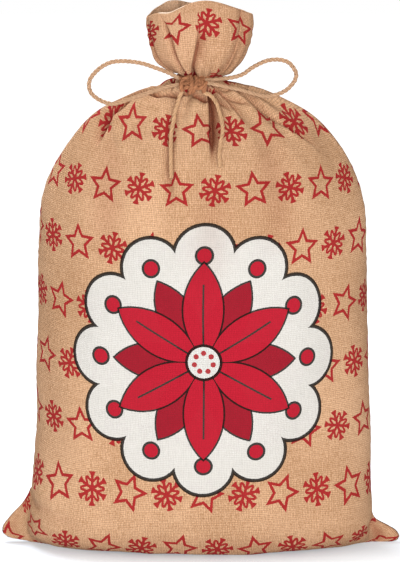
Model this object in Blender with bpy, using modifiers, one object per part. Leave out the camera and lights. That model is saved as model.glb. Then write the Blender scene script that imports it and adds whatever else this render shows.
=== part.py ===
"""A filled burlap sack, 0.50 m wide and 0.78 m long when flat, tied at the neck with jute twine.

The front faces -Y, +X is its right side as seen from there, and the sack stands on the floor at z = 0.
Each panel is one sheet of cloth. It runs from the bottom seam, forward or back along the floor, up the filled
body, in to the gathered neck and out again to the rim. All sizes are in metres.
"""

from collections import namedtuple
from math import pi

import bmesh
import bpy
import numpy as np

CLOTH_THICK = 0.002
SEAM_GAP = 0.0003
SEAM_OVERLAP = 0.0006
COLUMNS = 38
LONGEST_STEP = 0.034
SECTION_SAMPLES = 241
CREASE_FADE = 0.7
CUTTER_SIZE = (0.8, 0.2, 1.0)
CUTTER_HEIGHT = 0.4

TWINE_RADIUS = 0.0025
TWINE_GAP = 0.0003
TWINE_SIDES = 2
LUMP_SEGMENTS = 16
LUMP_RINGS = 10
WELD_DISTANCE = 1e-5
CORD_STEP = 0.0065
RING_POINTS = 40
STUB_LENGTH = 0.012

NECK = 0.6775

# A row across the cloth. "along" is the cloth's length from the bottom seam. The side seams are at y = 0, the
# front's middle is at -front, "bow" and "lift" say how square the section is in depth and in height, and
# "gather" is how deep the pleats are.
Row = namedtuple("Row", "along left_x left_z right_x right_z front middle_z bow lift gather")
ROWS = [
    Row(0.0000, -0.2485, 0.0100, 0.2495, 0.0050, -0.0006, -0.020, 0.45, 0.45, 0.0),
    Row(0.0220, -0.2400, 0.0330, 0.2370, 0.0195, 0.0220, -0.014, 0.45, 0.45, 0.0),
    Row(0.0450, -0.2238, 0.0510, 0.2184, 0.0322, 0.0440, -0.006, 0.50, 0.50, 0.0),
    Row(0.0680, -0.2130, 0.0720, 0.2140, 0.0540, 0.0640, 0.008, 0.58, 0.60, 0.0),
    Row(0.0950, -0.2100, 0.0990, 0.2118, 0.0810, 0.0830, 0.030, 0.70, 0.75, 0.0),
    Row(0.1200, -0.2082, 0.1240, 0.2110, 0.1080, 0.0940, 0.053, 0.85, 0.85, 0.0),
    Row(0.1600, -0.2050, 0.1640, 0.2104, 0.1490, 0.1020, 0.092, 1.00, 1.00, 0.0),
    Row(0.2100, -0.2034, 0.2140, 0.2092, 0.2000, 0.1060, 0.142, 1.05, 1.00, 0.0),
    Row(0.3000, -0.2014, 0.3035, 0.2071, 0.2930, 0.1070, 0.232, 1.05, 1.00, 0.0),
    Row(0.3800, -0.2004, 0.3838, 0.2037, 0.3745, 0.1055, 0.312, 1.05, 1.00, 0.0005),
    Row(0.4500, -0.1920, 0.4530, 0.1975, 0.4460, 0.1000, 0.382, 1.05, 1.00, 0.0020),
    Row(0.5100, -0.1630, 0.5050, 0.1730, 0.4995, 0.0900, 0.441, 1.00, 1.00, 0.0040),
    Row(0.5600, -0.1297, 0.5425, 0.1382, 0.5385, 0.0755, 0.4885, 1.00, 1.00, 0.0060),
    Row(0.6000, -0.0950, 0.5612, 0.1025, 0.5595, 0.0590, 0.525, 1.00, 1.00, 0.0075),
    Row(0.6335, -0.0640, 0.5735, 0.0695, 0.5725, 0.0450, 0.5545, 1.00, 1.00, 0.0075),
    Row(0.6560, -0.0430, 0.5815, 0.0460, 0.5778, 0.0335, 0.5720, 1.00, 1.00, 0.0055),
    Row(0.6690, -0.0300, 0.5850, 0.0315, 0.5808, 0.0260, 0.5788, 1.00, 1.00, 0.0040),
    Row(0.6755, -0.0255, 0.5872, 0.0262, 0.5838, 0.0225, 0.5824, 1.00, 1.00, 0.0035),
    Row(0.6795, -0.0255, 0.5914, 0.0262, 0.5880, 0.0225, 0.5862, 1.00, 1.00, 0.0035),
    Row(0.6860, -0.0308, 0.5940, 0.0322, 0.5904, 0.0262, 0.5900, 1.00, 1.00, 0.0038),
    Row(0.6950, -0.0436, 0.5972, 0.0436, 0.5966, 0.0325, 0.5980, 1.00, 1.00, 0.0034),
    Row(0.7110, -0.0560, 0.6065, 0.0540, 0.6102, 0.0385, 0.6130, 0.95, 1.20, 0.0020),
    Row(0.7320, -0.0628, 0.6265, 0.0606, 0.6275, 0.0425, 0.6370, 0.90, 1.50, 0.0012),
    Row(0.7540, -0.0660, 0.6445, 0.0637, 0.6452, 0.0430, 0.6590, 0.90, 1.80, 0.0008),
    Row(0.7760, -0.0672, 0.6578, 0.0642, 0.6617, 0.0415, 0.6775, 0.90, 2.00, 0.0006),
]

# The valleys between the gathers lie at these shares of the way from the middle to a side seam.
Valley = namedtuple("Valley", "across depth")
FRONT_VALLEYS = [
    Valley(-0.86, 0.8),
    Valley(-0.66, 1.0),
    Valley(-0.44, 0.7),
    Valley(-0.24, 1.0),
    Valley(0.02, 0.6),
    Valley(0.26, 1.0),
    Valley(0.47, 0.6),
    Valley(0.68, 1.0),
    Valley(0.87, 0.8),
]
BACK_VALLEYS = [
    Valley(-0.84, 0.9),
    Valley(-0.62, 0.7),
    Valley(-0.38, 1.1),
    Valley(-0.12, 0.8),
    Valley(0.10, 1.0),
    Valley(0.36, 0.7),
    Valley(0.60, 1.1),
    Valley(0.82, 0.8),
]

# A crease runs from one place on the cloth to another and fades at both ends. A ridge has a depth below zero.
Crease = namedtuple("Crease", "from_across from_along to_across to_along width depth")
FRONT_CREASES = [
    Crease(0.14, 0.660, 0.05, 0.520, 0.0090, 0.0100),
    Crease(-0.90, 0.645, -0.70, 0.520, 0.0130, 0.0070),
    Crease(-0.66, 0.630, -0.50, 0.520, 0.0120, -0.0030),
    Crease(0.48, 0.650, 0.62, 0.510, 0.0140, -0.0035),
    Crease(0.64, 0.660, 0.80, 0.510, 0.0130, 0.0050),
    Crease(-0.40, 0.560, -0.34, 0.300, 0.0300, 0.0020),
    Crease(0.42, 0.540, 0.45, 0.260, 0.0320, 0.0020),
    Crease(-0.80, 0.685, -0.92, 0.860, 0.0090, 0.0080),
    Crease(-0.40, 0.682, -0.60, 0.860, 0.0100, 0.0110),
    Crease(-0.28, 0.682, -0.02, 0.765, 0.0060, 0.0050),
    Crease(0.52, 0.682, 0.66, 0.860, 0.0110, 0.0070),
]
BACK_CREASES = [
    Crease(-0.30, 0.655, -0.36, 0.470, 0.0120, 0.0070),
    Crease(0.22, 0.650, 0.30, 0.440, 0.0130, 0.0080),
    Crease(0.64, 0.640, 0.70, 0.500, 0.0140, 0.0050),
    Crease(-0.74, 0.640, -0.70, 0.520, 0.0140, 0.0050),
    Crease(0.05, 0.520, 0.02, 0.240, 0.0360, 0.0020),
    Crease(-0.72, 0.685, -0.76, 0.860, 0.0100, 0.0120),
    Crease(-0.34, 0.682, -0.30, 0.860, 0.0120, 0.0150),
    Crease(0.08, 0.682, 0.06, 0.860, 0.0100, 0.0100),
    Crease(0.42, 0.682, 0.46, 0.860, 0.0120, 0.0150),
    Crease(0.78, 0.685, 0.82, 0.860, 0.0090, 0.0090),
]

# The ears at the bottom corners are pinched by a fold between them and the filled body.
Ear = namedtuple("Ear", "x z slope reach width depth")
EARS = [
    Ear(-0.2165, 0.062, -0.55, 0.060, 0.010, 0.006),
    Ear(0.2150, 0.036, -0.25, 0.045, 0.008, 0.004),
]

# The twine's knot: lumps with a centre, half sizes, and the twine's turns over them.
Lump = namedtuple("Lump", "x y z half_x half_y half_z")
KNOT_LUMPS = [
    Lump(-0.0095, -0.0290, 0.5845, 0.0060, 0.0055, 0.0026),
    Lump(-0.0100, -0.0330, 0.5830, 0.0110, 0.0062, 0.0050),
    Lump(-0.0125, -0.0392, 0.5765, 0.0068, 0.0058, 0.0088),
    Lump(-0.0030, -0.0400, 0.5762, 0.0085, 0.0058, 0.0070),
]

# Where the bow's twine runs, from the knot, chosen by eye. The loops return to the knot.
LOOP_LEFT = [
    (-0.0262, -0.0325, 0.5846),
    (-0.0376, -0.0350, 0.5909),
    (-0.0533, -0.0365, 0.5971),
    (-0.0684, -0.0365, 0.6023),
    (-0.0809, -0.0350, 0.6045),
    (-0.0962, -0.0335, 0.6055),
    (-0.1071, -0.0325, 0.6042),
    (-0.1180, -0.0320, 0.5994),
    (-0.1274, -0.0320, 0.5919),
    (-0.1339, -0.0325, 0.5827),
    (-0.1349, -0.0330, 0.5752),
    (-0.1322, -0.0340, 0.5671),
    (-0.1257, -0.0350, 0.5610),
    (-0.1158, -0.0370, 0.5562),
    (-0.1052, -0.0390, 0.5544),
    (-0.0969, -0.0400, 0.5563),
    (-0.0885, -0.0410, 0.5592),
    (-0.0720, -0.0415, 0.5650),
    (-0.0527, -0.0415, 0.5710),
    (-0.0371, -0.0380, 0.5756),
    (-0.0262, -0.0365, 0.5779),
]
LOOP_RIGHT = [
    (0.0050, -0.0320, 0.5826),
    (0.0160, -0.0335, 0.5831),
    (0.0277, -0.0350, 0.5846),
    (0.0389, -0.0365, 0.5862),
    (0.0517, -0.0355, 0.5903),
    (0.0606, -0.0345, 0.5966),
    (0.0703, -0.0335, 0.6021),
    (0.0793, -0.0325, 0.6058),
    (0.0884, -0.0320, 0.6071),
    (0.0979, -0.0315, 0.6065),
    (0.1063, -0.0315, 0.6034),
    (0.1119, -0.0320, 0.5973),
    (0.1152, -0.0325, 0.5900),
    (0.1137, -0.0335, 0.5827),
    (0.1091, -0.0350, 0.5763),
    (0.1035, -0.0365, 0.5709),
    (0.0969, -0.0380, 0.5674),
    (0.0884, -0.0395, 0.5648),
    (0.0793, -0.0410, 0.5639),
    (0.0682, -0.0425, 0.5657),
    (0.0569, -0.0430, 0.5690),
    (0.0460, -0.0435, 0.5723),
    (0.0349, -0.0430, 0.5742),
    (0.0220, -0.0420, 0.5772),
    (0.0085, -0.0410, 0.5800),
]
TAIL_LEFT = [
    (-0.0226, -0.0462, 0.5695),
    (-0.0252, -0.0475, 0.5639),
    (-0.0271, -0.0492, 0.5570),
    (-0.0303, -0.0510, 0.5475),
    (-0.0327, -0.0538, 0.5348),
    (-0.0350, -0.0584, 0.5225),
    (-0.0356, -0.0655, 0.5068),
    (-0.0355, -0.0747, 0.4896),
    (-0.0349, -0.0843, 0.4689),
]
TAIL_RIGHT = [
    (0.0030, -0.0430, 0.5680),
    (0.0100, -0.0442, 0.5661),
    (0.0179, -0.0470, 0.5575),
    (0.0224, -0.0535, 0.5463),
    (0.0255, -0.0592, 0.5340),
    (0.0262, -0.0650, 0.5230),
    (0.0243, -0.0707, 0.5120),
    (0.0223, -0.0773, 0.4970),
    (0.0230, -0.0833, 0.4820),
]


def clear_scene():
    for thing in list(bpy.data.objects):
        bpy.data.objects.remove(thing)


def new_collection(name, hidden=False):
    collection = bpy.data.collections.new(name)
    bpy.context.scene.collection.children.link(collection)
    collection.hide_render = hidden
    return collection


def material(name, colour, roughness):
    made = bpy.data.materials.new(name)
    made.use_nodes = True
    shader = made.node_tree.nodes["Principled BSDF"]
    shader.inputs["Base Color"].default_value = (*colour, 1.0)
    shader.inputs["Roughness"].default_value = roughness
    shader.inputs["Metallic"].default_value = 0.0
    return made


def smooth_curve(places, values, wanted):
    """A smooth curve through values at places, read at wanted: cubic between each two, with no sharp turns."""
    places = np.asarray(places, float)
    values = np.asarray(values, float)
    slopes = np.gradient(values, places, axis=0)
    index = np.clip(np.searchsorted(places, wanted, side="right") - 1, 0, len(places) - 2)
    span = places[index + 1] - places[index]
    t = (wanted - places[index]) / span
    if values.ndim == 2:
        span, t = span[:, None], t[:, None]
    return (
        (2 * t**3 - 3 * t**2 + 1) * values[index]
        + (t**3 - 2 * t**2 + t) * span * slopes[index]
        + (3 * t**2 - 2 * t**3) * values[index + 1]
        + (t**3 - t**2) * span * slopes[index + 1]
    )


def rows_along():
    """Places along the cloth: every row of the table, and enough between them for the longest step."""
    found = []
    for low, high in zip(ROWS, ROWS[1:]):
        steps = max(1, int(np.ceil((high.along - low.along) / LONGEST_STEP)))
        found.extend(np.linspace(low.along, high.along, steps, endpoint=False))
    return np.array(found + [ROWS[-1].along])


def section(row):
    """The points of one row, from the left side seam round the front to the right, evenly spaced on the cloth."""
    turn = np.linspace(-pi / 2, pi / 2, SECTION_SAMPLES)
    share = (1 + np.sin(turn)) / 2
    side_z = row.left_z + (row.right_z - row.left_z) * share
    bulge = np.clip(np.cos(turn), 0, 1)
    x = row.left_x + (row.right_x - row.left_x) * share
    y = SEAM_OVERLAP - (row.front + SEAM_OVERLAP) * bulge**row.bow
    z = side_z + (row.middle_z - side_z) * bulge**row.lift
    line = np.stack([x, y, np.maximum(z, 0.0)], axis=1)
    steps = np.linalg.norm(np.diff(line, axis=0), axis=1)
    length = np.concatenate([[0], np.cumsum(steps)])
    even = np.linspace(0, length[-1], COLUMNS + 1)
    return np.stack([np.interp(even, length, line[:, axis]) for axis in range(3)], axis=1)


def row_at(along):
    """The table's row at any place along the cloth."""
    table = np.array([row[1:] for row in ROWS])
    values = smooth_curve([row.along for row in ROWS], table, np.array([along]))[0]
    return Row(along, *values)


def base_sheet(places):
    """The panel without its pleats: one section for each place along the cloth."""
    return np.array([section(row_at(along)) for along in places])


def gathers(across, along, valleys):
    """The depth of the valleys between gathers: nothing on each ridge and at the seams."""
    places = [-1.0] + [valley.across for valley in valleys] + [1.0]
    counts = [-0.5] + list(range(len(valleys))) + [len(valleys) - 0.5]
    depths = [0.0] + [valley.depth for valley in valleys] + [0.0]
    phase = np.interp(across, places, counts)
    strength = np.interp(across, places, depths)
    deepest = np.interp(along, [row.along for row in ROWS], [row.gather for row in ROWS])
    return deepest[:, None] * (strength * (1 + np.cos(2 * pi * phase)) / 2)[None, :]


def crease_depth(crease, across, along, half_lengths):
    """A crease's depth over the sheet: a bell across it, faded in and out along it."""
    share = (along - crease.from_along) / (crease.to_along - crease.from_along)
    middle = crease.from_across + (crease.to_across - crease.from_across) * share
    fade = np.sin(pi * np.clip(share, 0, 1)) ** CREASE_FADE
    distance = (across[None, :] - middle[:, None]) * half_lengths[:, None]
    return crease.depth * np.exp(-((distance / crease.width) ** 2)) * fade[:, None]


def ear_depth(ear, sheet):
    """The fold that parts an ear from the body: it runs inwards and down from the silhouette."""
    inwards = (ear.x - sheet[:, :, 0]) * np.sign(ear.x)
    line_z = ear.z + ear.slope * inwards
    fade = np.clip(1 - inwards / ear.reach, 0, 1) * np.clip(1 + inwards / ear.width, 0, 1)
    return ear.depth * np.exp(-(((sheet[:, :, 2] - line_z) / ear.width) ** 2)) * fade


def outward_normals(sheet):
    across = np.gradient(sheet, axis=1)
    up = np.gradient(sheet, axis=0)
    normals = np.cross(across, up)
    return normals / np.maximum(np.linalg.norm(normals, axis=2, keepdims=True), 1e-12)


def folded_sheet(valleys, creases):
    """The front panel's outer face with its gathers and creases, pressed flat on the floor."""
    along = rows_along()
    across = np.linspace(-1, 1, COLUMNS + 1)
    sheet = base_sheet(along)
    steps = np.linalg.norm(np.diff(sheet, axis=1), axis=2)
    half_lengths = steps.sum(axis=1) / 2
    depth = gathers(across, along, valleys)
    for crease in creases:
        depth += crease_depth(crease, across, along, half_lengths)
    for ear in EARS:
        depth += ear_depth(ear, sheet)
    depth[:, [0, -1]] = 0
    sheet = sheet - outward_normals(sheet) * depth[:, :, None]
    sheet[:, :, 2] = np.maximum(sheet[:, :, 2], 0.0)
    return sheet


def sheet_object(name, sheet, turned, collection):
    """An open surface of triangles over the grid of points, whose diagonals all lean towards the nearer ear.

    A turned sheet has its faces the other way round.
    """
    rows, columns = sheet.shape[:2]
    index = np.arange(rows * columns).reshape(rows, columns)
    low_left, low_right = index[:-1, :-1], index[:-1, 1:]
    top_left, top_right = index[1:, :-1], index[1:, 1:]
    half = columns // 2
    lean_left = [(low_left, low_right, top_right), (low_left, top_right, top_left)]
    lean_right = [(low_left, low_right, top_left), (low_right, top_right, top_left)]
    left = [np.stack([corner[:, :half] for corner in face], axis=-1) for face in lean_left]
    right = [np.stack([corner[:, half:] for corner in face], axis=-1) for face in lean_right]
    faces = np.concatenate([face.reshape(-1, 3) for face in left + right])
    if turned:
        faces = faces[:, ::-1]
    mesh = bpy.data.meshes.new(name)
    mesh.from_pydata(sheet.reshape(-1, 3).tolist(), [], faces.tolist())
    made = bpy.data.objects.new(name, mesh)
    collection.objects.link(made)
    return made


def half_space(name, side, collection):
    """A cutter box that fills everything past the seam plane, on the other side from its panel."""
    bpy.ops.mesh.primitive_cube_add(size=1)
    cutter = bpy.context.object
    cutter.name = name
    cutter.scale = CUTTER_SIZE
    cutter.location = (0, -side * (CUTTER_SIZE[1] - SEAM_GAP) / 2, CUTTER_HEIGHT)
    for holder in list(cutter.users_collection):
        holder.objects.unlink(cutter)
    collection.objects.link(cutter)
    cutter.hide_render = True
    cutter.display_type = "WIRE"
    return cutter


def panel(name, side, valleys, creases, finish, parts, cutters):
    """One panel of cloth: an open surface with Solidify, cut off at the plane of the seams."""
    sheet = folded_sheet(valleys, creases)
    sheet[:, :, 1] *= -side
    made = sheet_object(name, sheet, side > 0, parts)
    wall = made.modifiers.new("cloth", "SOLIDIFY")
    wall.thickness = CLOTH_THICK
    wall.offset = -1
    trim = made.modifiers.new("seam", "BOOLEAN")
    trim.operation = "DIFFERENCE"
    trim.object = half_space(name + "_seam_cutter", side, cutters)
    made.data.shade_smooth()
    made.data.materials.append(finish)
    return made


def route_points(route):
    """Points of a smooth curve through the route, a fixed step apart."""
    route = np.array(route)
    steps = np.linalg.norm(np.diff(route, axis=0), axis=1)
    length = np.concatenate([[0], np.cumsum(steps)])
    count = int(length[-1] / CORD_STEP)
    return smooth_curve(length, route, np.linspace(0, length[-1], count + 1))


def tube(name, points, collection, closed=False):
    curve = bpy.data.curves.new(name, "CURVE")
    curve.dimensions = "3D"
    curve.bevel_depth = TWINE_RADIUS
    curve.bevel_resolution = TWINE_SIDES
    curve.use_fill_caps = True
    line = curve.splines.new("POLY")
    line.points.add(len(points) - 1)
    flat = np.hstack([points, np.ones((len(points), 1))])
    line.points.foreach_set("co", flat.ravel())
    line.use_cyclic_u = closed
    made = bpy.data.objects.new(name, curve)
    collection.objects.link(made)
    return made


def cord(name, route, finish, parts):
    made = tube(name, route_points(route), parts)
    made.data.materials.append(finish)
    return made


def as_mesh(tube_object):
    """The tube as a mesh object with its caps welded on."""
    graph = bpy.context.evaluated_depsgraph_get()
    mesh = bpy.data.meshes.new_from_object(tube_object.evaluated_get(graph))
    name = tube_object.name
    holders = list(tube_object.users_collection)
    bpy.data.objects.remove(tube_object)
    made = bpy.data.objects.new(name, mesh)
    for holder in holders:
        holder.objects.link(made)
    weld(mesh)
    return made


def weld(mesh):
    cage = bmesh.new()
    cage.from_mesh(mesh)
    bmesh.ops.remove_doubles(cage, verts=cage.verts, dist=WELD_DISTANCE)
    bmesh.ops.recalc_face_normals(cage, faces=cage.faces)
    cage.to_mesh(mesh)
    cage.free()


def neck_ring():
    """The twine's turn round the neck: the neck's own ellipse moved out by the twine's radius and a gap."""
    neck = row_at(NECK)
    clear = TWINE_RADIUS + TWINE_GAP
    turn = np.linspace(0, 2 * pi, RING_POINTS, endpoint=False)
    share = (1 + np.cos(turn)) / 2
    x = (neck.left_x - clear) * (1 - share) + (neck.right_x + clear) * share
    y = (neck.front + clear) * np.sin(turn)
    side_z = neck.left_z * (1 - share) + neck.right_z * share
    z = side_z + (neck.middle_z - side_z) * np.abs(np.sin(turn))
    return np.stack([x, y, z], axis=1)


def stub(name, start, following, collection):
    """A short end of twine inside the knot, in line with a cord that leaves it and 0.3 mm short of it."""
    start, following = np.array(start), np.array(following)
    direction = (following - start) / np.linalg.norm(following - start)
    near = start - direction * TWINE_GAP
    far = start - direction * STUB_LENGTH
    return as_mesh(tube(name, np.array([far, near]), collection))


def knot_lump(name, lump, collection):
    bpy.ops.mesh.primitive_uv_sphere_add(segments=LUMP_SEGMENTS, ring_count=LUMP_RINGS, radius=1)
    made = bpy.context.object
    made.name = name
    for point in made.data.vertices:
        point.co.x = lump.x + point.co.x * lump.half_x
        point.co.y = lump.y + point.co.y * lump.half_y
        point.co.z = lump.z + point.co.z * lump.half_z
    for holder in list(made.users_collection):
        holder.objects.unlink(made)
    collection.objects.link(made)
    return made


def twine_tie(finish, parts, helpers):
    """The turn round the neck with the knot on it, joined into one solid."""
    tie = as_mesh(tube("twine_tie", neck_ring(), parts, closed=True))
    pieces = [knot_lump(f"knot_lump_{i}", lump, helpers) for i, lump in enumerate(KNOT_LUMPS)]
    ends = [
        (LOOP_LEFT[0], LOOP_LEFT[1]),
        (LOOP_LEFT[-1], LOOP_LEFT[-2]),
        (LOOP_RIGHT[0], LOOP_RIGHT[1]),
        (LOOP_RIGHT[-1], LOOP_RIGHT[-2]),
        (TAIL_LEFT[0], TAIL_LEFT[1]),
        (TAIL_RIGHT[0], TAIL_RIGHT[1]),
    ]
    pieces += [stub(f"knot_end_{i}", *end, helpers) for i, end in enumerate(ends)]
    for piece in pieces:
        piece.hide_render = True
        piece.display_type = "WIRE"
        join = tie.modifiers.new(piece.name, "BOOLEAN")
        join.operation = "UNION"
        join.object = piece
    tie.data.shade_smooth()
    tie.data.materials.append(finish)
    return tie


def main():
    clear_scene()
    parts = new_collection("burlap_sack")
    cutters = new_collection("cutters")
    burlap = material("burlap", (0.60, 0.38, 0.19), 0.9)
    twine = material("jute_twine", (0.50, 0.36, 0.22), 0.85)
    panel("sack_front", -1, FRONT_VALLEYS, FRONT_CREASES, burlap, parts, cutters)
    panel("sack_back", 1, BACK_VALLEYS, BACK_CREASES, burlap, parts, cutters)
    twine_tie(twine, parts, cutters)
    cord("twine_loop_left", LOOP_LEFT, twine, parts)
    cord("twine_loop_right", LOOP_RIGHT, twine, parts)
    cord("twine_tail_left", TAIL_LEFT, twine, parts)
    cord("twine_tail_right", TAIL_RIGHT, twine, parts)


main()
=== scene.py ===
"""The looks of a filled burlap sack, tied at the neck with a jute twine bow, on a pale floor.

The front faces -Y, +X is its right side as seen from there, and the floor is z = 0. All sizes are in metres.
Each panel of cloth is one surface over two parameters: "across", from -1 at the left side seam to 1 at the
right one, and "along", the cloth's length from the bottom seam to the rim.
"""

from collections import namedtuple
from math import pi, radians

import bpy
import numpy as np
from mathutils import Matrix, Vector


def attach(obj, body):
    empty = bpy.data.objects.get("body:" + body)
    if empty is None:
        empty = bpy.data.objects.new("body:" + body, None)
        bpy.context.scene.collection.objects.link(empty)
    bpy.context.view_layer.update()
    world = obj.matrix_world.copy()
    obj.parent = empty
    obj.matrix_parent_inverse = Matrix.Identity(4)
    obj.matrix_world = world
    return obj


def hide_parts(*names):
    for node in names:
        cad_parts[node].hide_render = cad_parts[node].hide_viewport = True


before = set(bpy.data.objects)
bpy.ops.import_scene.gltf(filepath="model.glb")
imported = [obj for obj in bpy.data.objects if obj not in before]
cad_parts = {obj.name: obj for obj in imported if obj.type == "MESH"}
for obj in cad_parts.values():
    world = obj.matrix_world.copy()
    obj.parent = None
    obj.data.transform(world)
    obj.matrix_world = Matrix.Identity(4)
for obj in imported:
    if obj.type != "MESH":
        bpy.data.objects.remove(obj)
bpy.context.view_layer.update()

# The camera stands where the photograph was taken from, and sees 1.24 mm in a pixel at the sack.
FRAME_PIXELS = 562
PIXEL = 0.00124
CAMERA_DISTANCE = 2.6
CAMERA_PITCH = radians(8.5)
AIM_HEIGHT = 0.33253
SENSOR = 36.0
SIDE_SHIFT = -0.75

# Cloth.
CLOTH_THICK = 0.0018
COLUMNS = 190
SECTION_SAMPLES = 401
SEAM_HALF_THICK = 0.0010
EAR_HALF_THICK = 0.0023
INNER_GAP = 0.0002
EAR_START = 0.2145
# The ears get their thickness over this share of half the width, from the side seams.
EAR_EDGE_SHARE = 0.02
# The ears' depth is the mean of this many columns each way, up to a place along the cloth where that fades.
EAR_BLEND = 5
EAR_BLEND_UNTIL = 0.05
EAR_BLEND_FADES = 0.03
SEAM_CLOSES = 0.004
NECK = 0.6775
RIM = 0.776
# The steps along the cloth: up to each place, rows are this far apart.
Step = namedtuple("Step", "up_to size")
STEPS = [Step(0.100, 0.0030), Step(0.480, 0.0050), Step(0.600, 0.0030), Step(RIM, 0.0017)]

# A row across the cloth. "along" is the cloth's length from the bottom seam. The side seams are at y = 0, the
# front's middle is at -front, "bow" and "lift" say how square the section is in depth and in height, and
# "gather" is how deep the pleats are.
Row = namedtuple("Row", "along left_x left_z right_x right_z front middle_z bow lift gather")
ROWS = [
    Row(0.0000, -0.2440, 0.0052, 0.2480, 0.0010, 0.0000, -0.020, 1.00, 2.30, 0.0),
    Row(0.0070, -0.2504, 0.0112, 0.2512, 0.0072, 0.0075, -0.018, 0.90, 1.60, 0.0),
    Row(0.0140, -0.2498, 0.0205, 0.2468, 0.0148, 0.0145, -0.016, 0.80, 1.20, 0.0),
    Row(0.0220, -0.2418, 0.0315, 0.2378, 0.0205, 0.0220, -0.014, 0.72, 0.90, 0.0),
    Row(0.0450, -0.2246, 0.0505, 0.2188, 0.0325, 0.0445, -0.009, 0.64, 0.55, 0.0),
    Row(0.0680, -0.2142, 0.0700, 0.2150, 0.0530, 0.0660, 0.001, 0.64, 0.58, 0.0),
    Row(0.0950, -0.2108, 0.0970, 0.2124, 0.0805, 0.0855, 0.024, 0.74, 0.76, 0.0),
    Row(0.1200, -0.2086, 0.1230, 0.2112, 0.1080, 0.0955, 0.049, 0.86, 0.86, 0.0),
    Row(0.1600, -0.2052, 0.1640, 0.2104, 0.1490, 0.1020, 0.092, 1.00, 1.00, 0.0),
    Row(0.2100, -0.2035, 0.2140, 0.2092, 0.2000, 0.1060, 0.142, 1.05, 1.00, 0.0),
    Row(0.3000, -0.2015, 0.3035, 0.2071, 0.2930, 0.1070, 0.232, 1.05, 1.00, 0.0),
    Row(0.3800, -0.2008, 0.3838, 0.2042, 0.3745, 0.1055, 0.312, 1.05, 1.00, 0.0),
    Row(0.4500, -0.1925, 0.4530, 0.1985, 0.4460, 0.1000, 0.382, 1.05, 1.00, 0.0),
    Row(0.5100, -0.1640, 0.5050, 0.1742, 0.4995, 0.0900, 0.441, 1.00, 1.00, 0.0008),
    Row(0.5600, -0.1305, 0.5425, 0.1394, 0.5385, 0.0755, 0.4885, 1.00, 1.00, 0.0020),
    Row(0.6000, -0.0960, 0.5612, 0.1035, 0.5595, 0.0590, 0.525, 1.00, 1.00, 0.0040),
    Row(0.6335, -0.0645, 0.5735, 0.0700, 0.5735, 0.0450, 0.5545, 1.00, 1.00, 0.0060),
    Row(0.6450, -0.0535, 0.5755, 0.0575, 0.5765, 0.0392, 0.5636, 1.00, 1.00, 0.0064),
    Row(0.6560, -0.0430, 0.5815, 0.0460, 0.5782, 0.0335, 0.5720, 1.00, 1.00, 0.0056),
    Row(0.6690, -0.0300, 0.5855, 0.0315, 0.5812, 0.0260, 0.5788, 1.00, 1.00, 0.0036),
    Row(0.6755, -0.0255, 0.5862, 0.0262, 0.5838, 0.0225, 0.5824, 1.00, 1.00, 0.0030),
    Row(0.6795, -0.0262, 0.5878, 0.0268, 0.5852, 0.0225, 0.5862, 1.00, 1.00, 0.0030),
    Row(0.6860, -0.0334, 0.5880, 0.0337, 0.5862, 0.0262, 0.5900, 1.00, 1.00, 0.0026),
    Row(0.6950, -0.0445, 0.5932, 0.0432, 0.5938, 0.0325, 0.5980, 1.00, 1.00, 0.0022),
    Row(0.7110, -0.0570, 0.6052, 0.0542, 0.6092, 0.0385, 0.6130, 0.95, 1.20, 0.0012),
    Row(0.7320, -0.0638, 0.6262, 0.0614, 0.6268, 0.0425, 0.6370, 0.90, 1.50, 0.0005),
    Row(0.7540, -0.0668, 0.6445, 0.0645, 0.6450, 0.0430, 0.6590, 0.90, 1.80, 0.0005),
    Row(0.7760, -0.0680, 0.6580, 0.0648, 0.6615, 0.0415, 0.6775, 0.90, 2.00, 0.0003),
]

# The valleys between the small gathers at the neck lie at these shares of the way to a side seam.
Valley = namedtuple("Valley", "across depth")
FRONT_VALLEYS = [
    Valley(-0.86, 0.8),
    Valley(-0.66, 0.4),
    Valley(-0.44, 0.3),
    Valley(-0.24, 0.8),
    Valley(0.02, 0.6),
    Valley(0.26, 1.0),
    Valley(0.47, 0.6),
    Valley(0.68, 1.0),
    Valley(0.87, 0.8),
]
BACK_VALLEYS = [
    Valley(-0.84, 0.9),
    Valley(-0.62, 0.7),
    Valley(-0.38, 1.1),
    Valley(-0.12, 0.8),
    Valley(0.10, 1.0),
    Valley(0.36, 0.7),
    Valley(0.60, 1.1),
    Valley(0.82, 0.8),
]

# The rim isn't level: at these places across, it stands this much over or under the smooth form.
Rise = namedtuple("Rise", "across height")
FRONT_RIM = [
    Rise(-1.00, 0.0),
    Rise(-0.75, -0.0012),
    Rise(-0.60, -0.0032),
    Rise(-0.42, -0.0074),
    Rise(-0.25, -0.0048),
    Rise(-0.12, -0.0018),
    Rise(0.02, 0.0004),
    Rise(0.50, -0.0006),
    Rise(1.00, 0.0),
]
BACK_RIM = [
    Rise(-1.00, 0.0),
    Rise(-0.84, 0.0026),
    Rise(-0.72, 0.0040),
    Rise(-0.58, 0.0046),
    Rise(-0.46, 0.0056),
    Rise(-0.33, 0.0036),
    Rise(-0.14, -0.0022),
    Rise(0.10, -0.0035),
    Rise(0.60, -0.0010),
    Rise(1.00, 0.0),
]

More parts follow.
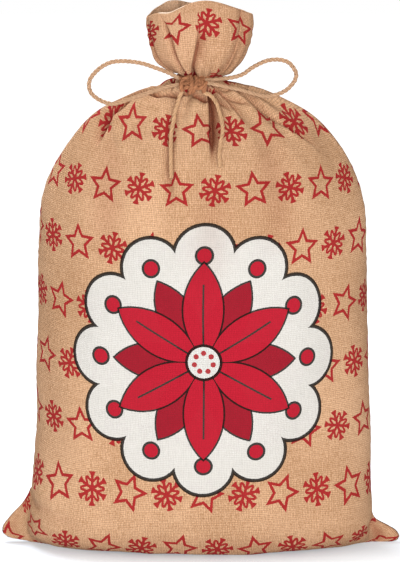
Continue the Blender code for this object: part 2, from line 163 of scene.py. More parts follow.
# A tuck is a fold that swallows cloth. It runs up from "low" to "high" through three places across. It is
# "left" and "right" wide on its two sides, where a narrow side is the overhanging one, and "depth" deep.
# "start" and "end" are how much of the depth is left at its low and high ends, and "hidden" metres of cloth
# lie in it at its top.
Tuck = namedtuple("Tuck", "low high low_across mid_across high_across left right depth start end hidden")
FRONT_TUCKS = [
    Tuck(0.535, 0.640, -0.730, -0.83, -1.04, 0.0130, 0.0020, 0.0095, 0.0, 0.7, 0.010),
    Tuck(0.480, NECK, -0.16, -0.25, -0.42, 0.0090, 0.0040, 0.0045, 0.0, 0.5, 0.008),
    Tuck(0.548, 0.662, 0.056, 0.067, 0.135, 0.0016, 0.0085, 0.0068, 0.0, 1.0, 0.006),
    Tuck(0.566, 0.662, 0.058, 0.080, 0.135, 0.0016, 0.0085, 0.0062, 0.0, 1.0, 0.004),
    Tuck(0.525, NECK, 0.82, 0.690, 0.64, 0.0022, 0.0120, 0.0050, 0.0, 0.6, 0.010),
    Tuck(0.600, NECK, 0.40, 0.36, 0.30, 0.0022, 0.0060, 0.0050, 0.0, 0.7, 0.006),
    Tuck(0.612, NECK, 0.23, 0.22, 0.18, 0.0050, 0.0022, 0.0040, 0.0, 0.7, 0.010),
    Tuck(0.640, NECK, -0.54, -0.58, -0.64, 0.0060, 0.0022, 0.0036, 0.0, 0.7, 0.006),
    Tuck(NECK, 0.774, -0.40, -0.415, -0.59, 0.0042, 0.0014, 0.0046, 1.0, 0.0, 0.008),
    Tuck(NECK, 0.738, -0.30, -0.090, -0.02, 0.0012, 0.0055, 0.0056, 1.0, 0.3, 0.006),
    Tuck(NECK, 0.800, 0.52, 0.58, 0.62, 0.0050, 0.0120, 0.0024, 0.8, 0.9, 0.006),
    Tuck(NECK, 0.780, -0.84, -0.88, -0.92, 0.0060, 0.0060, 0.0040, 1.0, 0.3, 0.006),
]
BACK_TUCKS = [
    Tuck(0.500, NECK, -0.44, -0.36, -0.28, 0.0120, 0.0020, 0.0110, 0.0, 0.5, 0.015),
    Tuck(0.470, NECK, 0.24, 0.22, 0.20, 0.0020, 0.0120, 0.0130, 0.0, 0.5, 0.015),
    Tuck(0.520, NECK, 0.66, 0.62, 0.60, 0.0110, 0.0020, 0.0080, 0.0, 0.5, 0.012),
    Tuck(0.540, NECK, -0.74, -0.72, -0.70, 0.0020, 0.0110, 0.0080, 0.0, 0.5, 0.012),
    Tuck(0.600, NECK, 0.00, -0.02, -0.04, 0.0050, 0.0022, 0.0060, 0.0, 0.6, 0.025),
    Tuck(NECK, 0.760, -0.72, -0.74, -0.76, 0.0080, 0.0040, 0.0050, 0.8, 0.0, 0.015),
    Tuck(NECK, 0.776, -0.36, -0.33, -0.30, 0.0120, 0.0030, 0.0090, 1.0, 0.2, 0.008),
    Tuck(NECK, 0.770, 0.08, 0.07, 0.06, 0.0030, 0.0110, 0.0080, 1.0, 0.1, 0.008),
    Tuck(NECK, 0.776, 0.42, 0.44, 0.46, 0.0030, 0.0120, 0.0100, 1.0, 0.3, 0.008),
    Tuck(NECK, 0.776, 0.78, 0.80, 0.82, 0.0080, 0.0040, 0.0060, 1.0, 0.3, 0.008),
]

# A crease runs straight over the cloth, from one place to another, each given by its distance round the
# panel from the middle and along. It fades at both ends, and a ridge has a depth below zero.
Crease = namedtuple("Crease", "from_round from_along to_round to_along width depth")
FRONT_CREASES = [
    Crease(-0.112, 0.6200, -0.004, 0.6550, 0.0024, 0.0130),
    Crease(-0.100, 0.6300, -0.016, 0.6600, 0.0040, -0.0034),
    Crease(-0.046, 0.6620, -0.018, 0.6640, 0.0022, 0.0050),
    Crease(-0.085, 0.6120, -0.020, 0.6330, 0.0060, -0.0026),
    Crease(-0.030, 0.6310, -0.080, 0.6100, 0.0026, 0.0020),
    Crease(0.022, 0.657, 0.075, 0.645, 0.0022, 0.0055),
    Crease(0.020, 0.6730, 0.120, 0.6130, 0.0040, -0.0046),
    Crease(0.024, 0.648, 0.062, 0.624, 0.0024, 0.0040),
    Crease(0.014, 0.652, 0.036, 0.622, 0.0024, 0.0056),
    Crease(-0.014, 0.6500, 0.008, 0.6410, 0.0044, 0.0130),
    Crease(-0.018, 0.6380, 0.006, 0.6300, 0.0060, -0.0030),
    Crease(-0.010, 0.636, -0.016, 0.600, 0.0100, -0.0026),
    Crease(0.000, 0.640, 0.004, 0.575, 0.0120, 0.0022),
    Crease(0.004, 0.742, 0.002, 0.700, 0.0060, 0.0024),
    Crease(-0.138, 0.600, -0.096, 0.550, 0.0075, -0.0040),
    Crease(0.076, 0.630, 0.128, 0.560, 0.0050, -0.0030),
    Crease(-0.060, 0.610, -0.075, 0.470, 0.0170, -0.0032),
    Crease(0.075, 0.590, 0.100, 0.440, 0.0220, 0.0032),
    Crease(-0.115, 0.580, -0.125, 0.420, 0.0220, 0.0028),
    Crease(0.012, 0.540, 0.008, 0.400, 0.0220, 0.0026),
    Crease(-0.2560, 0.064, -0.190, 0.096, 0.0060, 0.0034),
    Crease(-0.205, 0.090, -0.145, 0.093, 0.0080, 0.0012),
    Crease(-0.2500, 0.078, -0.175, 0.128, 0.0140, -0.0034),
    Crease(-0.2640, 0.070, -0.226, -0.010, 0.0080, 0.0036),
    Crease(0.2600, 0.044, 0.225, 0.062, 0.0040, 0.0024),
    Crease(0.2600, 0.068, 0.2140, -0.010, 0.0070, 0.0066),
    Crease(0.240, 0.060, 0.200, 0.050, 0.0055, 0.0030),
    Crease(-0.170, 0.040, -0.060, 0.058, 0.0140, 0.0018),
    Crease(0.180, 0.040, 0.060, 0.056, 0.0140, 0.0018),
]
BACK_CREASES = [
    Crease(-0.020, 0.650, -0.080, 0.632, 0.0026, 0.0060),
    Crease(0.024, 0.648, 0.085, 0.628, 0.0026, 0.0060),
    Crease(-0.060, 0.560, -0.080, 0.330, 0.0260, 0.0034),
    Crease(0.070, 0.570, 0.080, 0.300, 0.0280, 0.0034),
    Crease(0.150, 0.540, 0.170, 0.400, 0.0180, 0.0028),
    Crease(-0.2560, 0.064, -0.185, 0.098, 0.0045, 0.0070),
    Crease(0.2580, 0.048, 0.212, 0.080, 0.0050, 0.0070),
    Crease(-0.150, 0.140, 0.020, 0.110, 0.0200, 0.0025),
]
# A tuck grows and fades over this share of its length. The cloth hidden in one below the neck comes out again
# over TUCK_LETS_OUT past the neck. TUCK_EDGE is the width of the jump in the print at a tuck's line, and
# FOLD_SHARE is how much of the length that the folds add counts on the flat cloth.
TUCK_END_SHARE = 0.35
TUCK_LETS_OUT = 0.012
TUCK_EDGE = 0.0007
FOLD_SHARE = 0.25
# A crease fades to its ends as the sine of the way along it, to this power.
CREASE_FADE = 0.7
# The gap under a tuck's overhanging side: its width, its place beside the edge, and its share of the depth.
CRACK_WIDTH = 0.0010
CRACK_BESIDE = 0.0012
CRACK_SHARE = 0.5
CRACK_DEEPEST = 0.0030
# The slack of filled cloth: the lengths of its waves, their height as a share of that, and how far they lean.
# SLACK_AT_BASE of it is left up to SLACK_FROM along the cloth, and from there it grows over SLACK_GROWS.
SLACK_WAVES = (0.30, 0.21, 0.15, 0.11, 0.08, 0.055)
SLACK_HEIGHT = 0.006
SLACK_LEAN = 0.5
SLACK_CLIMB = 1.4
SLACK_AT_BASE = 0.35
SLACK_FROM = 0.03
SLACK_GROWS = 0.07
# Folds die away this close to a side seam and to the bottom seam.
SEAM_HOLDS = 0.012
BASE_HOLDS = 0.008
# The rim's lip, and the stretch of it that is lightened as a painted highlight: where across it starts and is
# full, and how it thins out.
LIP_LENGTH = 0.0032
LIP_DEPTH = 0.0016
HIGHLIGHT_LENGTH = 0.0034
HIGHLIGHT_LEAST = 0.0003
HIGHLIGHT_START = -0.62
HIGHLIGHT_GROWS = 0.05
HIGHLIGHT_FULL = -0.55
HIGHLIGHT_THINS = 0.42
# The side seams' groove and its puckers. They aren't evenly spaced: over PUCKER_ROUND of them, they drift by
# PUCKER_DRIFT radians and back.
SEAM_DEPTH = 0.0016
SEAM_WIDTH = 0.0035
PUCKER_DEPTH = 0.0007
PUCKER_PITCH = 0.017
PUCKER_REACH = 0.010
PUCKER_EDGE = 0.002
PUCKER_DRIFT = 1.7
PUCKER_ROUND = 3.1
# On the body, the side seams are this much further along the flat cloth than the middle beside them. That
# grows from the bottom seam over PULLED_FULL, and fades over PULLED_FADES past PULLED_UNTIL.
CLOTH_PULLED_UP = 0.048
PULLED_FULL = 0.10
PULLED_UNTIL = 0.52
PULLED_FADES = 0.14
# Painted shade: cloth this far down in a tuck or crease gets all of it, darker and redder. The side seams,
# what is lower than LOW_HEIGHT, and the ruffle, where that grows over RUFFLE_GROWS, also get some painted
# shade.
HOLLOW_DEPTH = 0.011
SEAM_SHADE = 0.30
LOW_SHADE = 0.16
LOW_HEIGHT = 0.035
RUFFLE_SHADE = 0.13
RUFFLE_GROWS = 0.02

# Twine: its radius, the length of one full twist, and its three strands, pressed a little into each other.
TWINE_RADIUS = 0.0025
STRAND_RADIUS = 0.00150
STRAND_OFFSET = 0.00128
TWIST_LENGTH = 0.017
STRANDS = 3
STRAND_SIDES = 8
TWINE_STEP = 0.0013
# Jute isn't even: each strand swells by this share, this often, and not where its neighbour does.
STRAND_SWELL = 0.07
SWELL_LENGTH = 0.031
SWELL_SHIFT = 2.1
# Where each line of twine in one piece starts its twist, after the line before it, in radians.
LINE_TURN = 1.3
# A direction that no piece of twine starts in, from which the sides of each are found.
ASIDE = (0.3, 0.2, 0.93)

# Where the bow's twine runs, from the knot. The loops return to the knot.
LOOP_LEFT = [
    (-0.0262, -0.0325, 0.5846),
    (-0.0376, -0.0350, 0.5909),
    (-0.0533, -0.0365, 0.5971),
    (-0.0684, -0.0365, 0.6023),
    (-0.0809, -0.0350, 0.6045),
    (-0.0962, -0.0335, 0.6055),
    (-0.1071, -0.0325, 0.6042),
    (-0.1180, -0.0320, 0.5994),
    (-0.1274, -0.0320, 0.5919),
    (-0.1339, -0.0325, 0.5827),
    (-0.1349, -0.0330, 0.5752),
    (-0.1322, -0.0340, 0.5671),
    (-0.1257, -0.0350, 0.5610),
    (-0.1158, -0.0370, 0.5562),
    (-0.1052, -0.0390, 0.5544),
    (-0.0969, -0.0400, 0.5563),
    (-0.0885, -0.0410, 0.5592),
    (-0.0720, -0.0415, 0.5650),
    (-0.0527, -0.0415, 0.5710),
    (-0.0371, -0.0380, 0.5756),
    (-0.0262, -0.0365, 0.5779),
]
LOOP_RIGHT = [
    (0.0050, -0.0320, 0.5826),
    (0.0160, -0.0335, 0.5831),
    (0.0277, -0.0350, 0.5846),
    (0.0389, -0.0365, 0.5862),
    (0.0517, -0.0355, 0.5903),
    (0.0606, -0.0345, 0.5966),
    (0.0703, -0.0335, 0.6021),
    (0.0793, -0.0325, 0.6058),
    (0.0884, -0.0320, 0.6071),
    (0.0979, -0.0315, 0.6065),
    (0.1063, -0.0315, 0.6034),
    (0.1119, -0.0320, 0.5973),
    (0.1152, -0.0325, 0.5900),
    (0.1137, -0.0335, 0.5827),
    (0.1091, -0.0350, 0.5763),
    (0.1035, -0.0365, 0.5709),
    (0.0969, -0.0380, 0.5674),
    (0.0884, -0.0395, 0.5648),
    (0.0793, -0.0410, 0.5639),
    (0.0682, -0.0425, 0.5657),
    (0.0569, -0.0430, 0.5690),
    (0.0460, -0.0435, 0.5723),
    (0.0349, -0.0430, 0.5742),
    (0.0220, -0.0420, 0.5772),
    (0.0085, -0.0410, 0.5800),
]
TAIL_LEFT = [
    (-0.0226, -0.0462, 0.5695),
    (-0.0252, -0.0475, 0.5639),
    (-0.0271, -0.0492, 0.5570),
    (-0.0303, -0.0510, 0.5475),
    (-0.0327, -0.0538, 0.5348),
    (-0.0350, -0.0584, 0.5225),
    (-0.0356, -0.0655, 0.5068),
    (-0.0355, -0.0747, 0.4896),
    (-0.0349, -0.0843, 0.4689),
]
TAIL_RIGHT = [
    (0.0030, -0.0430, 0.5680),
    (0.0100, -0.0442, 0.5661),
    (0.0179, -0.0470, 0.5575),
    (0.0224, -0.0535, 0.5463),
    (0.0255, -0.0592, 0.5340),
    (0.0262, -0.0650, 0.5230),
    (0.0243, -0.0707, 0.5120),
    (0.0223, -0.0773, 0.4970),
    (0.0230, -0.0833, 0.4820),
]

# The twine inside the knot: the loops' legs cross behind, two turns bind them, the tails come out over and
# under these, and the last strand crosses the knot's low side.
KNOT_ROUTES = [
    [
        LOOP_LEFT[0],
        (-0.0180, -0.0345, 0.5831),
        (-0.0090, -0.0365, 0.5815),
        (-0.0010, -0.0355, 0.5827),
        LOOP_RIGHT[0],
    ],
    [
        LOOP_LEFT[-1],
        (-0.0180, -0.0385, 0.5786),
        (-0.0080, -0.0400, 0.5791),
        (0.0010, -0.0400, 0.5777),
        LOOP_RIGHT[-1],
    ],
    [
        (-0.0135, -0.0275, 0.5855),
        (-0.0120, -0.0350, 0.5869),
        (-0.0105, -0.0420, 0.5831),
        (-0.0108, -0.0462, 0.5770),
        (-0.0125, -0.0462, 0.5712),
        (-0.0135, -0.0400, 0.5680),
        (-0.0130, -0.0340, 0.5700),
    ],
    [
        (-0.0075, -0.0275, 0.5850),
        (-0.0058, -0.0350, 0.5861),
        (-0.0046, -0.0415, 0.5819),
        (-0.0058, -0.0450, 0.5763),
        (-0.0085, -0.0452, 0.5708),
        (-0.0100, -0.0400, 0.5686),
    ],
    [
        (-0.0120, -0.0320, 0.5843),
        (-0.0165, -0.0380, 0.5859),
        (-0.0212, -0.0415, 0.5831),
        (-0.0232, -0.0452, 0.5776),
        (-0.0230, -0.0466, 0.5730),
        TAIL_LEFT[0],
    ],
    [
        (-0.0030, -0.0350, 0.5829),
        (0.0030, -0.0400, 0.5800),
        (0.0052, -0.0432, 0.5759),
        (0.0042, -0.0445, 0.5715),
        TAIL_RIGHT[0],
    ],
    [
        (-0.0222, -0.0400, 0.5732),
        (-0.0165, -0.0440, 0.5744),
        (-0.0085, -0.0425, 0.5740),
        (0.0000, -0.0452, 0.5736),
        (0.0048, -0.0420, 0.5775),
    ],
]
# The turn round the neck: half its rise, how far each end overlaps, in radians, how much lower it lies than
# the neck, and how far its middle is outside the neck's form, as a share of its radius.
WRAP_SPREAD = 0.0016
WRAP_OVERLAP = 0.4
WRAP_LOWER = 0.0012
WRAP_STANDS_OUT = 0.6
WRAP_POINTS = 121

# The print, laid out on the flat cloth.
ROW_PITCH = 0.074
ROW_START = 0.0425
MOTIF_PITCH = 0.047
ROSETTE_ACROSS = 0.003
ROSETTE_ALONG = 0.318
WARP_PITCH = 0.0020
WEFT_PITCH = 0.0023
# Square to a star's side, and to a branch's, as x along the arm and y beside it.
STAR_SIDE = (0.417, 0.909)
BRANCH_SIDE = (0.72, 0.69)
STAR_REACH = 0.0083
FLAKE_RADIUS = 0.0195
FLAKE_WEDGE_FROM = 0.0142
BRANCH_FROM = 0.0070
LOBE_RING = 0.128
LOBE_RADIUS = 0.037
BERRY_RADIUS = 0.0085
BERRY_EDGE = 0.0115
EYE_RADIUS = 0.019
EYE_EDGE = 0.0225
DOT_RING = 0.0115
DOT_RADIUS = 0.0032
VEIN_HALF = 0.0011
VEIN_SHARE = 0.55

# Lights: name, place, what it is aimed at, size and power in watts.
LIGHTS = [
    ("key", (-0.10, -3.0, 0.55), (0, 0, 0.20), 1.3, 64),
    ("fill", (1.05, -2.75, 0.55), (0, 0, 0.12), 1.3, 38),
    ("low", (-1.5, -2.0, 0.20), (-0.10, 0, 0.14), 0.8, 9),
    ("rim", (-0.7, 0.9, 2.4), (0, 0, 0.50), 1.3, 68),
]
# The background is seen white, but lights the sack less, and with a warm tint.
SKY_LIGHT = (0.29, 0.24, 0.20)
FLOOR_HALF = 30
FLOOR_POINTS = 13
FLOOR_DROP = 0.0001
FLOOR_PAINT = "#B2BCC8"
# The floor's glow is painted light, and it grows twice: from the sack's base, whose outline is an ellipse, so
# that a painted contact shadow lies round the base, and again far out, where it is full.
BASE_DEPTH_TO_WIDTH = 0.42
NEAR_SHIFT = (0.002, -0.020, 0)
NEAR_FROM = 0.03
NEAR_FULL = 0.17
GLOW_NEAR = 0.85
GLOW_FROM = 0.5
GLOW_FULL = 1.8

# Colours: the jute, the inks printed on it and the twine, with painted shade and painted light.
TAN_DARK = "#B08763"
TAN_LIGHT = "#D6AD89"
INK_RED = "#98121C"
INK_WHITE = "#C8C7C2"
INK_DARK = "#130E0A"
INK_CRIMSON = "#AA1429"
INK_CRIMSON_DEEP = "#8E0F22"
TWINE_DARK = "#8A694C"
TWINE_LIGHT = "#CDA888"
TAIL_DARK = "#94724F"
TAIL_LIGHT = "#DCB28C"
# The knot and the turn round the neck are the same twine, darker as painted shade.
KNOT_SHADED_DARK = "#653A22"
KNOT_SHADED_LIGHT = "#C68C65"
# Painted colours on the cloth: the painted shade in folds and low down, the painted light on the rim's lip
# and inside, and how strong each is.
FOLD_SHADE = "#AA5031"
PAINTED_LIGHT_TINT = "#F6E9D6"
HOLLOW_SHADE = 0.78
INSIDE_PAINTED_LIGHT = 0.14
# How dull the finishes are, and how many times in a metre the twine's fibres change, round it and along it.
CLOTH_ROUGH = 0.92
TWINE_ROUGH = 0.9
FLOOR_ROUGH = 0.9
JUTE_SPECULAR = 0.2
FIBRES = (9, 130, 1)


def linear(colour):
    """An sRGB colour, written in hex, as linear red, green, blue and alpha."""
    parts = np.array([int(colour[place : place + 2], 16) for place in (1, 3, 5)]) / 255
    low, high = parts / 12.92, ((parts + 0.055) / 1.055) ** 2.4
    return (*np.where(parts <= 0.04045, low, high), 1.0)


def smooth_step(share):
    """0 up to 0 and 1 from 1, and between them three times the square less twice the cube."""
    share = np.clip(share, 0, 1)
    return share * share * (3 - 2 * share)


def smooth_curve(places, values, wanted):
    """A smooth curve through rows of values at places, read at wanted: cubic between each two."""
    places = np.asarray(places, float)
    values = np.asarray(values, float)
    slopes = np.gradient(values, places, axis=0)
    index = np.clip(np.searchsorted(places, wanted, side="right") - 1, 0, len(places) - 2)
    span = (places[index + 1] - places[index])[:, None]
    t = (wanted - places[index])[:, None] / span
    return (
        (2 * t**3 - 3 * t**2 + 1) * values[index]
        + (t**3 - 2 * t**2 + t) * span * slopes[index]
        + (3 * t**2 - 2 * t**3) * values[index + 1]
        + (t**3 - t**2) * span * slopes[index + 1]
    )


def row_columns(along):
    """The columns of the rows' table after its first, on smooth curves through the rows, at places along."""
    return smooth_curve([row.along for row in ROWS], np.array([row[1:] for row in ROWS]), along).T


def length_along(line):
    """The length of a line from its start to each of its points: the sum of the steps between them."""
    steps = np.linalg.norm(np.diff(line, axis=0), axis=1)
    return np.concatenate([[0], np.cumsum(steps)])


def places_along():
    """The rows' places along the cloth, with the steps of the table."""
    found = [np.zeros(1)]
    start = 0.0
    for step in STEPS:
        count = int(round((step.up_to - start) / step.size))
        found.append(np.linspace(start, step.up_to, count + 1)[1:])
        start = step.up_to
    return np.concatenate(found)


def evenly(line):
    """A line of points, with its bulge as a fourth column, made into COLUMNS equal steps of length."""
    length = length_along(line[:, :3])
    even = np.linspace(0, length[-1], COLUMNS + 1)
    return np.stack([np.interp(even, length, column) for column in line.T], axis=1)


def sections(along):
    """The sack's smooth form: for each row, points from the left seam round the front to the right one.

    x and the seams' height go evenly with the sine of an angle. The height of the middle goes with a power of
    its cosine, the "bulge", and so does the depth, but there the ears past EAR_START are left flat. Gives the
    points, the bulge, half of each row's length, and the depth of the gathers.
    """
    row = Row(along, *row_columns(along)[:, :, None])
    turn = np.linspace(-pi / 2, pi / 2, SECTION_SAMPLES)[None]
    share = (1 + np.sin(turn)) / 2
    bulge = np.clip(np.cos(turn), 0, 1)
    side_z = row.left_z + (row.right_z - row.left_z) * share
    x = row.left_x + (row.right_x - row.left_x) * share
    middle = (row.left_x + row.right_x) / 2
    filled = np.minimum(np.where(x < middle, middle - row.left_x, row.right_x - middle), EAR_START)
    depth = np.maximum(row.front, 0) * np.clip(1 - ((x - middle) / filled) ** 2, 0, 1) ** (row.bow / 2)
    ear = (EAR_HALF_THICK - SEAM_HALF_THICK) * smooth_step((1 - np.abs(np.sin(turn))) / EAR_EDGE_SHARE)
    y = -SEAM_HALF_THICK - np.maximum(depth, ear)
    z = np.maximum(side_z + (row.middle_z - side_z) * bulge**row.lift, 0)
    lines = np.stack([x, y, z, np.broadcast_to(bulge, x.shape)], axis=-1)
    even = np.array([evenly(line) for line in lines])
    sheet, bulge = even[:, :, :3], even[:, :, 3]
    shifts = range(-EAR_BLEND, EAR_BLEND + 1)
    soft = np.stack([np.roll(sheet[:, :, 1], shift, axis=1) for shift in shifts]).mean(axis=0)
    inside = np.s_[:, EAR_BLEND:-EAR_BLEND]
    share = 1 - smooth_step((along - EAR_BLEND_UNTIL) / EAR_BLEND_FADES)
    sheet[:, :, 1][inside] += (soft - sheet[:, :, 1])[inside] * share[:, None]
    half_arc = np.linalg.norm(np.diff(sheet, axis=1), axis=2).sum(axis=1) / 2
    return sheet, bulge, half_arc, row.gather[:, 0]


def gathers(across, deepest, valleys):
    """The depth of the valleys between gathers: nothing on each ridge and at the seams."""
    places = [-1.0] + [valley.across for valley in valleys] + [1.0]
    counts = [-0.5] + list(range(len(valleys))) + [len(valleys) - 0.5]
    depths = [0.0] + [valley.depth for valley in valleys] + [0.0]
    phase = np.interp(across, places, counts)
    strength = np.interp(across, places, depths)
    return np.maximum(deepest, 0)[:, None] * (strength * (1 + np.cos(2 * pi * phase)) / 2)[None, :]


def tuck_distance(tuck, across, along, half_arc):
    """How far each point is from a tuck's line, round the panel, and the share of the way up the tuck."""
    share = np.clip((along - tuck.low) / (tuck.high - tuck.low), 0, 1)
    line = (
        tuck.low_across * (1 - share) * (1 - 2 * share)
        + tuck.mid_across * 4 * share * (1 - share)
        + tuck.high_across * share * (2 * share - 1)
    )
    return (across[None, :] - line[:, None]) * half_arc[:, None], share


def tuck_depth(tuck, across, along, half_arc):
    """A bell across the tuck, with a narrow crack under its steep, overhanging side.

    Both grow from the tuck's low end and fade to its high end as smooth steps.
    """
    distance, share = tuck_distance(tuck, across, along, half_arc)
    width = np.where(distance < 0, tuck.left, tuck.right)
    strength = tuck.start + (1 - tuck.start) * smooth_step(share / TUCK_END_SHARE)
    from_end = (share - (1 - TUCK_END_SHARE)) / TUCK_END_SHARE
    strength = strength * (1 - (1 - tuck.end) * smooth_step(from_end))
    strength = strength * (along >= tuck.low) * (along <= tuck.high)
    beside = CRACK_BESIDE if tuck.left < tuck.right else -CRACK_BESIDE
    crack = np.exp(-(((distance - beside) / CRACK_WIDTH) ** 2)) * min(CRACK_SHARE * tuck.depth, CRACK_DEEPEST)
    return (tuck.depth * np.exp(-((distance / width) ** 2)) + crack) * strength[:, None]


def cloth_round(smooth, sheet, across, along, half_arc, tucks):
    """Each point's place across the flat cloth.

    It is the distance round the smooth form, a share of what the folds add to that, and past each tuck what
    it hides.
    """
    flat = 0
    for form, share in ((smooth, 1 - FOLD_SHARE), (sheet, FOLD_SHARE)):
        steps = np.linalg.norm(np.diff(form, axis=1), axis=2)
        flat = flat + share * np.concatenate([np.zeros((len(along), 1)), np.cumsum(steps, axis=1)], axis=1)
    flat = flat - flat[:, COLUMNS // 2, None]
    for tuck in tucks:
        distance, share = tuck_distance(tuck, across, along, half_arc)
        middle = tuck_distance(tuck, np.zeros(1), along, half_arc)[0]
        if tuck.low < NECK:
            share = share * np.clip(1 - (along - NECK) / TUCK_LETS_OUT, 0, 1)
        passed = np.tanh(distance / TUCK_EDGE) - np.tanh(middle / TUCK_EDGE)
        flat = flat + tuck.hidden * share[:, None] * passed / 2
    return flat


def crease_depth(crease, round_panel, along):
    """A bell across a straight line over the cloth, faded in and out along it."""
    run = np.array([crease.to_round - crease.from_round, crease.to_along - crease.from_along])
    length = np.hypot(*run)
    sideways = round_panel - crease.from_round
    up = along[:, None] - crease.from_along
    share = (sideways * run[0] + up * run[1]) / length**2
    distance = (up * run[0] - sideways * run[1]) / length
    fade = np.sin(pi * np.clip(share, 0, 1)) ** CREASE_FADE
    return crease.depth * np.exp(-((distance / crease.width) ** 2)) * fade


def slack(round_panel, along, seed):
    """Soft unevenness of filled cloth: a few long cosine waves that lean each way, up to about 1.5 mm."""
    chance = np.random.default_rng(seed)
    total = np.zeros_like(round_panel)
    for wave in SLACK_WAVES:
        lean = chance.uniform(-SLACK_LEAN, SLACK_LEAN)
        start = chance.uniform(0, 2 * pi)
        place = round_panel * (1 - abs(lean)) + along[:, None] * lean * SLACK_CLIMB
        total += SLACK_HEIGHT * wave * np.cos(2 * pi * place / wave + start)
    return total


def outward_normals(sheet):
    """The direction square to a sheet at each of its points: across its steps one way and the other."""
    across = np.gradient(sheet, axis=1)
    up = np.gradient(sheet, axis=0)
    normals = np.cross(across, up)
    return normals / np.maximum(np.linalg.norm(normals, axis=2, keepdims=True), 1e-12)


def shade_of_folds(folds, to_seam, height, across, along, lip_highlight):
    """The painted shade at each point: 1 deep in a fold, and below 0 as a painted highlight on a stretch of
    the rim's lip.

    It is the folds' depth, with a bell on the side seams and smooth steps at the floor and above the neck.
    """
    painted_light_and_shade = folds / HOLLOW_DEPTH + SEAM_SHADE * np.exp(-((to_seam / SEAM_WIDTH) ** 2))
    painted_light_and_shade = painted_light_and_shade + LOW_SHADE * (1 - smooth_step(height / LOW_HEIGHT))
    painted_light_and_shade = np.clip(painted_light_and_shade + RUFFLE_SHADE * smooth_step((along - NECK) / RUFFLE_GROWS)[:, None], 0, 1)
    painted_light = lip_highlight * HIGHLIGHT_LENGTH * smooth_step((across - HIGHLIGHT_START) / HIGHLIGHT_GROWS)
    painted_light = painted_light * (1 - smooth_step((across - HIGHLIGHT_FULL) / HIGHLIGHT_THINS))
    return painted_light_and_shade - smooth_step((along[:, None] - RIM + painted_light) / np.maximum(painted_light, 1e-6)) * (painted_light > HIGHLIGHT_LEAST)


def edge_depth(to_seam, along):
    """A bell-shaped groove at the side seams, puckered by a sine wave of uneven pitch, and the rim's lip."""
    uneven = np.sin(2 * pi * along / (PUCKER_ROUND * PUCKER_PITCH))
    pucker = np.sin(2 * pi * along / PUCKER_PITCH + PUCKER_DRIFT * uneven)[:, None]
    near = np.exp(-to_seam / PUCKER_REACH) * PUCKER_DEPTH
    depth = np.exp(-((to_seam / SEAM_WIDTH) ** 2)) * SEAM_DEPTH
    depth = depth + near * pucker * smooth_step(to_seam / PUCKER_EDGE)
    return depth + LIP_DEPTH * (smooth_step((along - RIM + LIP_LENGTH) / LIP_LENGTH) ** 2)[:, None]


def folded_sheet(rim, valleys, tucks, creases, seed, lip_highlight=0):
    """A panel's outer face with its folds, as for the front: the smooth form, moved in by the folds' depth.

    Also gives each point's place on the flat cloth, and its painted shade, which is below 0 where it is
    painted light.
    """
    along = places_along()
    across = np.linspace(-1, 1, COLUMNS + 1)
    smooth, bulge, half_arc, deepest = sections(along)
    places, heights = np.array(rim).T
    rise = smooth_curve(places, heights[:, None], across)[:, 0]
    smooth[:, :, 2] += rise[None, :] * smooth_step((along - NECK) / (RIM - NECK))[:, None] ** 2
    round_panel = across[None, :] * half_arc[:, None]
    folds = sum(tuck_depth(tuck, across, along, half_arc) for tuck in tucks)
    folds = folds + sum(crease_depth(crease, round_panel, along) for crease in creases)
    to_seam = half_arc[:, None] - np.abs(round_panel)
    free = smooth_step(to_seam / SEAM_HOLDS) * smooth_step(along / BASE_HOLDS)[:, None]
    painted_light_and_shade = shade_of_folds(folds * free, to_seam, smooth[:, :, 2], across, along, lip_highlight)
    taut = SLACK_AT_BASE + (1 - SLACK_AT_BASE) * smooth_step((along - SLACK_FROM) / SLACK_GROWS)
    loose = slack(round_panel, along, seed) * taut[:, None]
    depth = (folds + gathers(across, deepest, valleys) + loose) * free + edge_depth(to_seam, along)
    sheet = smooth - outward_normals(smooth) * depth[:, :, None]
    opens = smooth_step(np.minimum(to_seam, along[:, None]) / SEAM_CLOSES)
    sheet[:, :, 1] = np.minimum(sheet[:, :, 1] + SEAM_HALF_THICK * (1 - opens), -SEAM_HALF_THICK * opens)
    sheet[:, :, 2] = np.maximum(sheet[:, :, 2], 0.0)
    pulled = smooth_step(along / PULLED_FULL) * (1 - smooth_step((along - PULLED_UNTIL) / PULLED_FADES))
    flat_along = along[:, None] + CLOTH_PULLED_UP * pulled[:, None] * (1 - bulge)
    flat_across = cloth_round(smooth, sheet, across, along, half_arc, tucks)
    return sheet, np.stack([flat_across, flat_along], axis=-1), painted_light_and_shade


def grid_faces(rows, columns, start=0):
    """The four-sided faces of a grid of points whose first index is start."""
    index = start + np.arange(rows * columns).reshape(rows, columns)
    corners = [index[:-1, :-1], index[:-1, 1:], index[1:, 1:], index[1:, :-1]]
    return np.stack(corners, axis=-1).reshape(-1, 4), index


def mesh_object(name, points, faces, flat, painted_light_and_shade=None):
    """A smooth mesh object. Its UV map is each point's place on the flat cloth, and an attribute its painted
    shade, below 0 where it is painted light.
    """
    mesh = bpy.data.meshes.new(name)
    mesh.from_pydata(points.tolist(), [], [list(face) for face in faces])
    layer = mesh.uv_layers.new(name="flat")
    corners = np.empty(len(mesh.loops), np.int32)
    mesh.loops.foreach_get("vertex_index", corners)
    layer.data.foreach_set("uv", flat[corners].astype(np.float32).ravel())
    if painted_light_and_shade is not None:
        layer = mesh.attributes.new("painted_light_and_shade", "FLOAT", "POINT")
        layer.data.foreach_set("value", painted_light_and_shade.astype(np.float32))
    mesh.shade_smooth()
    made = bpy.data.objects.new(name, mesh)
    bpy.context.scene.collection.objects.link(made)
    return made


def edge_strip(outer, inner):
    """Faces that close the wall along one edge, from the outer grid's points to the inner grid's."""
    return np.stack([outer[1:], outer[:-1], inner[:-1], inner[1:]], axis=-1)


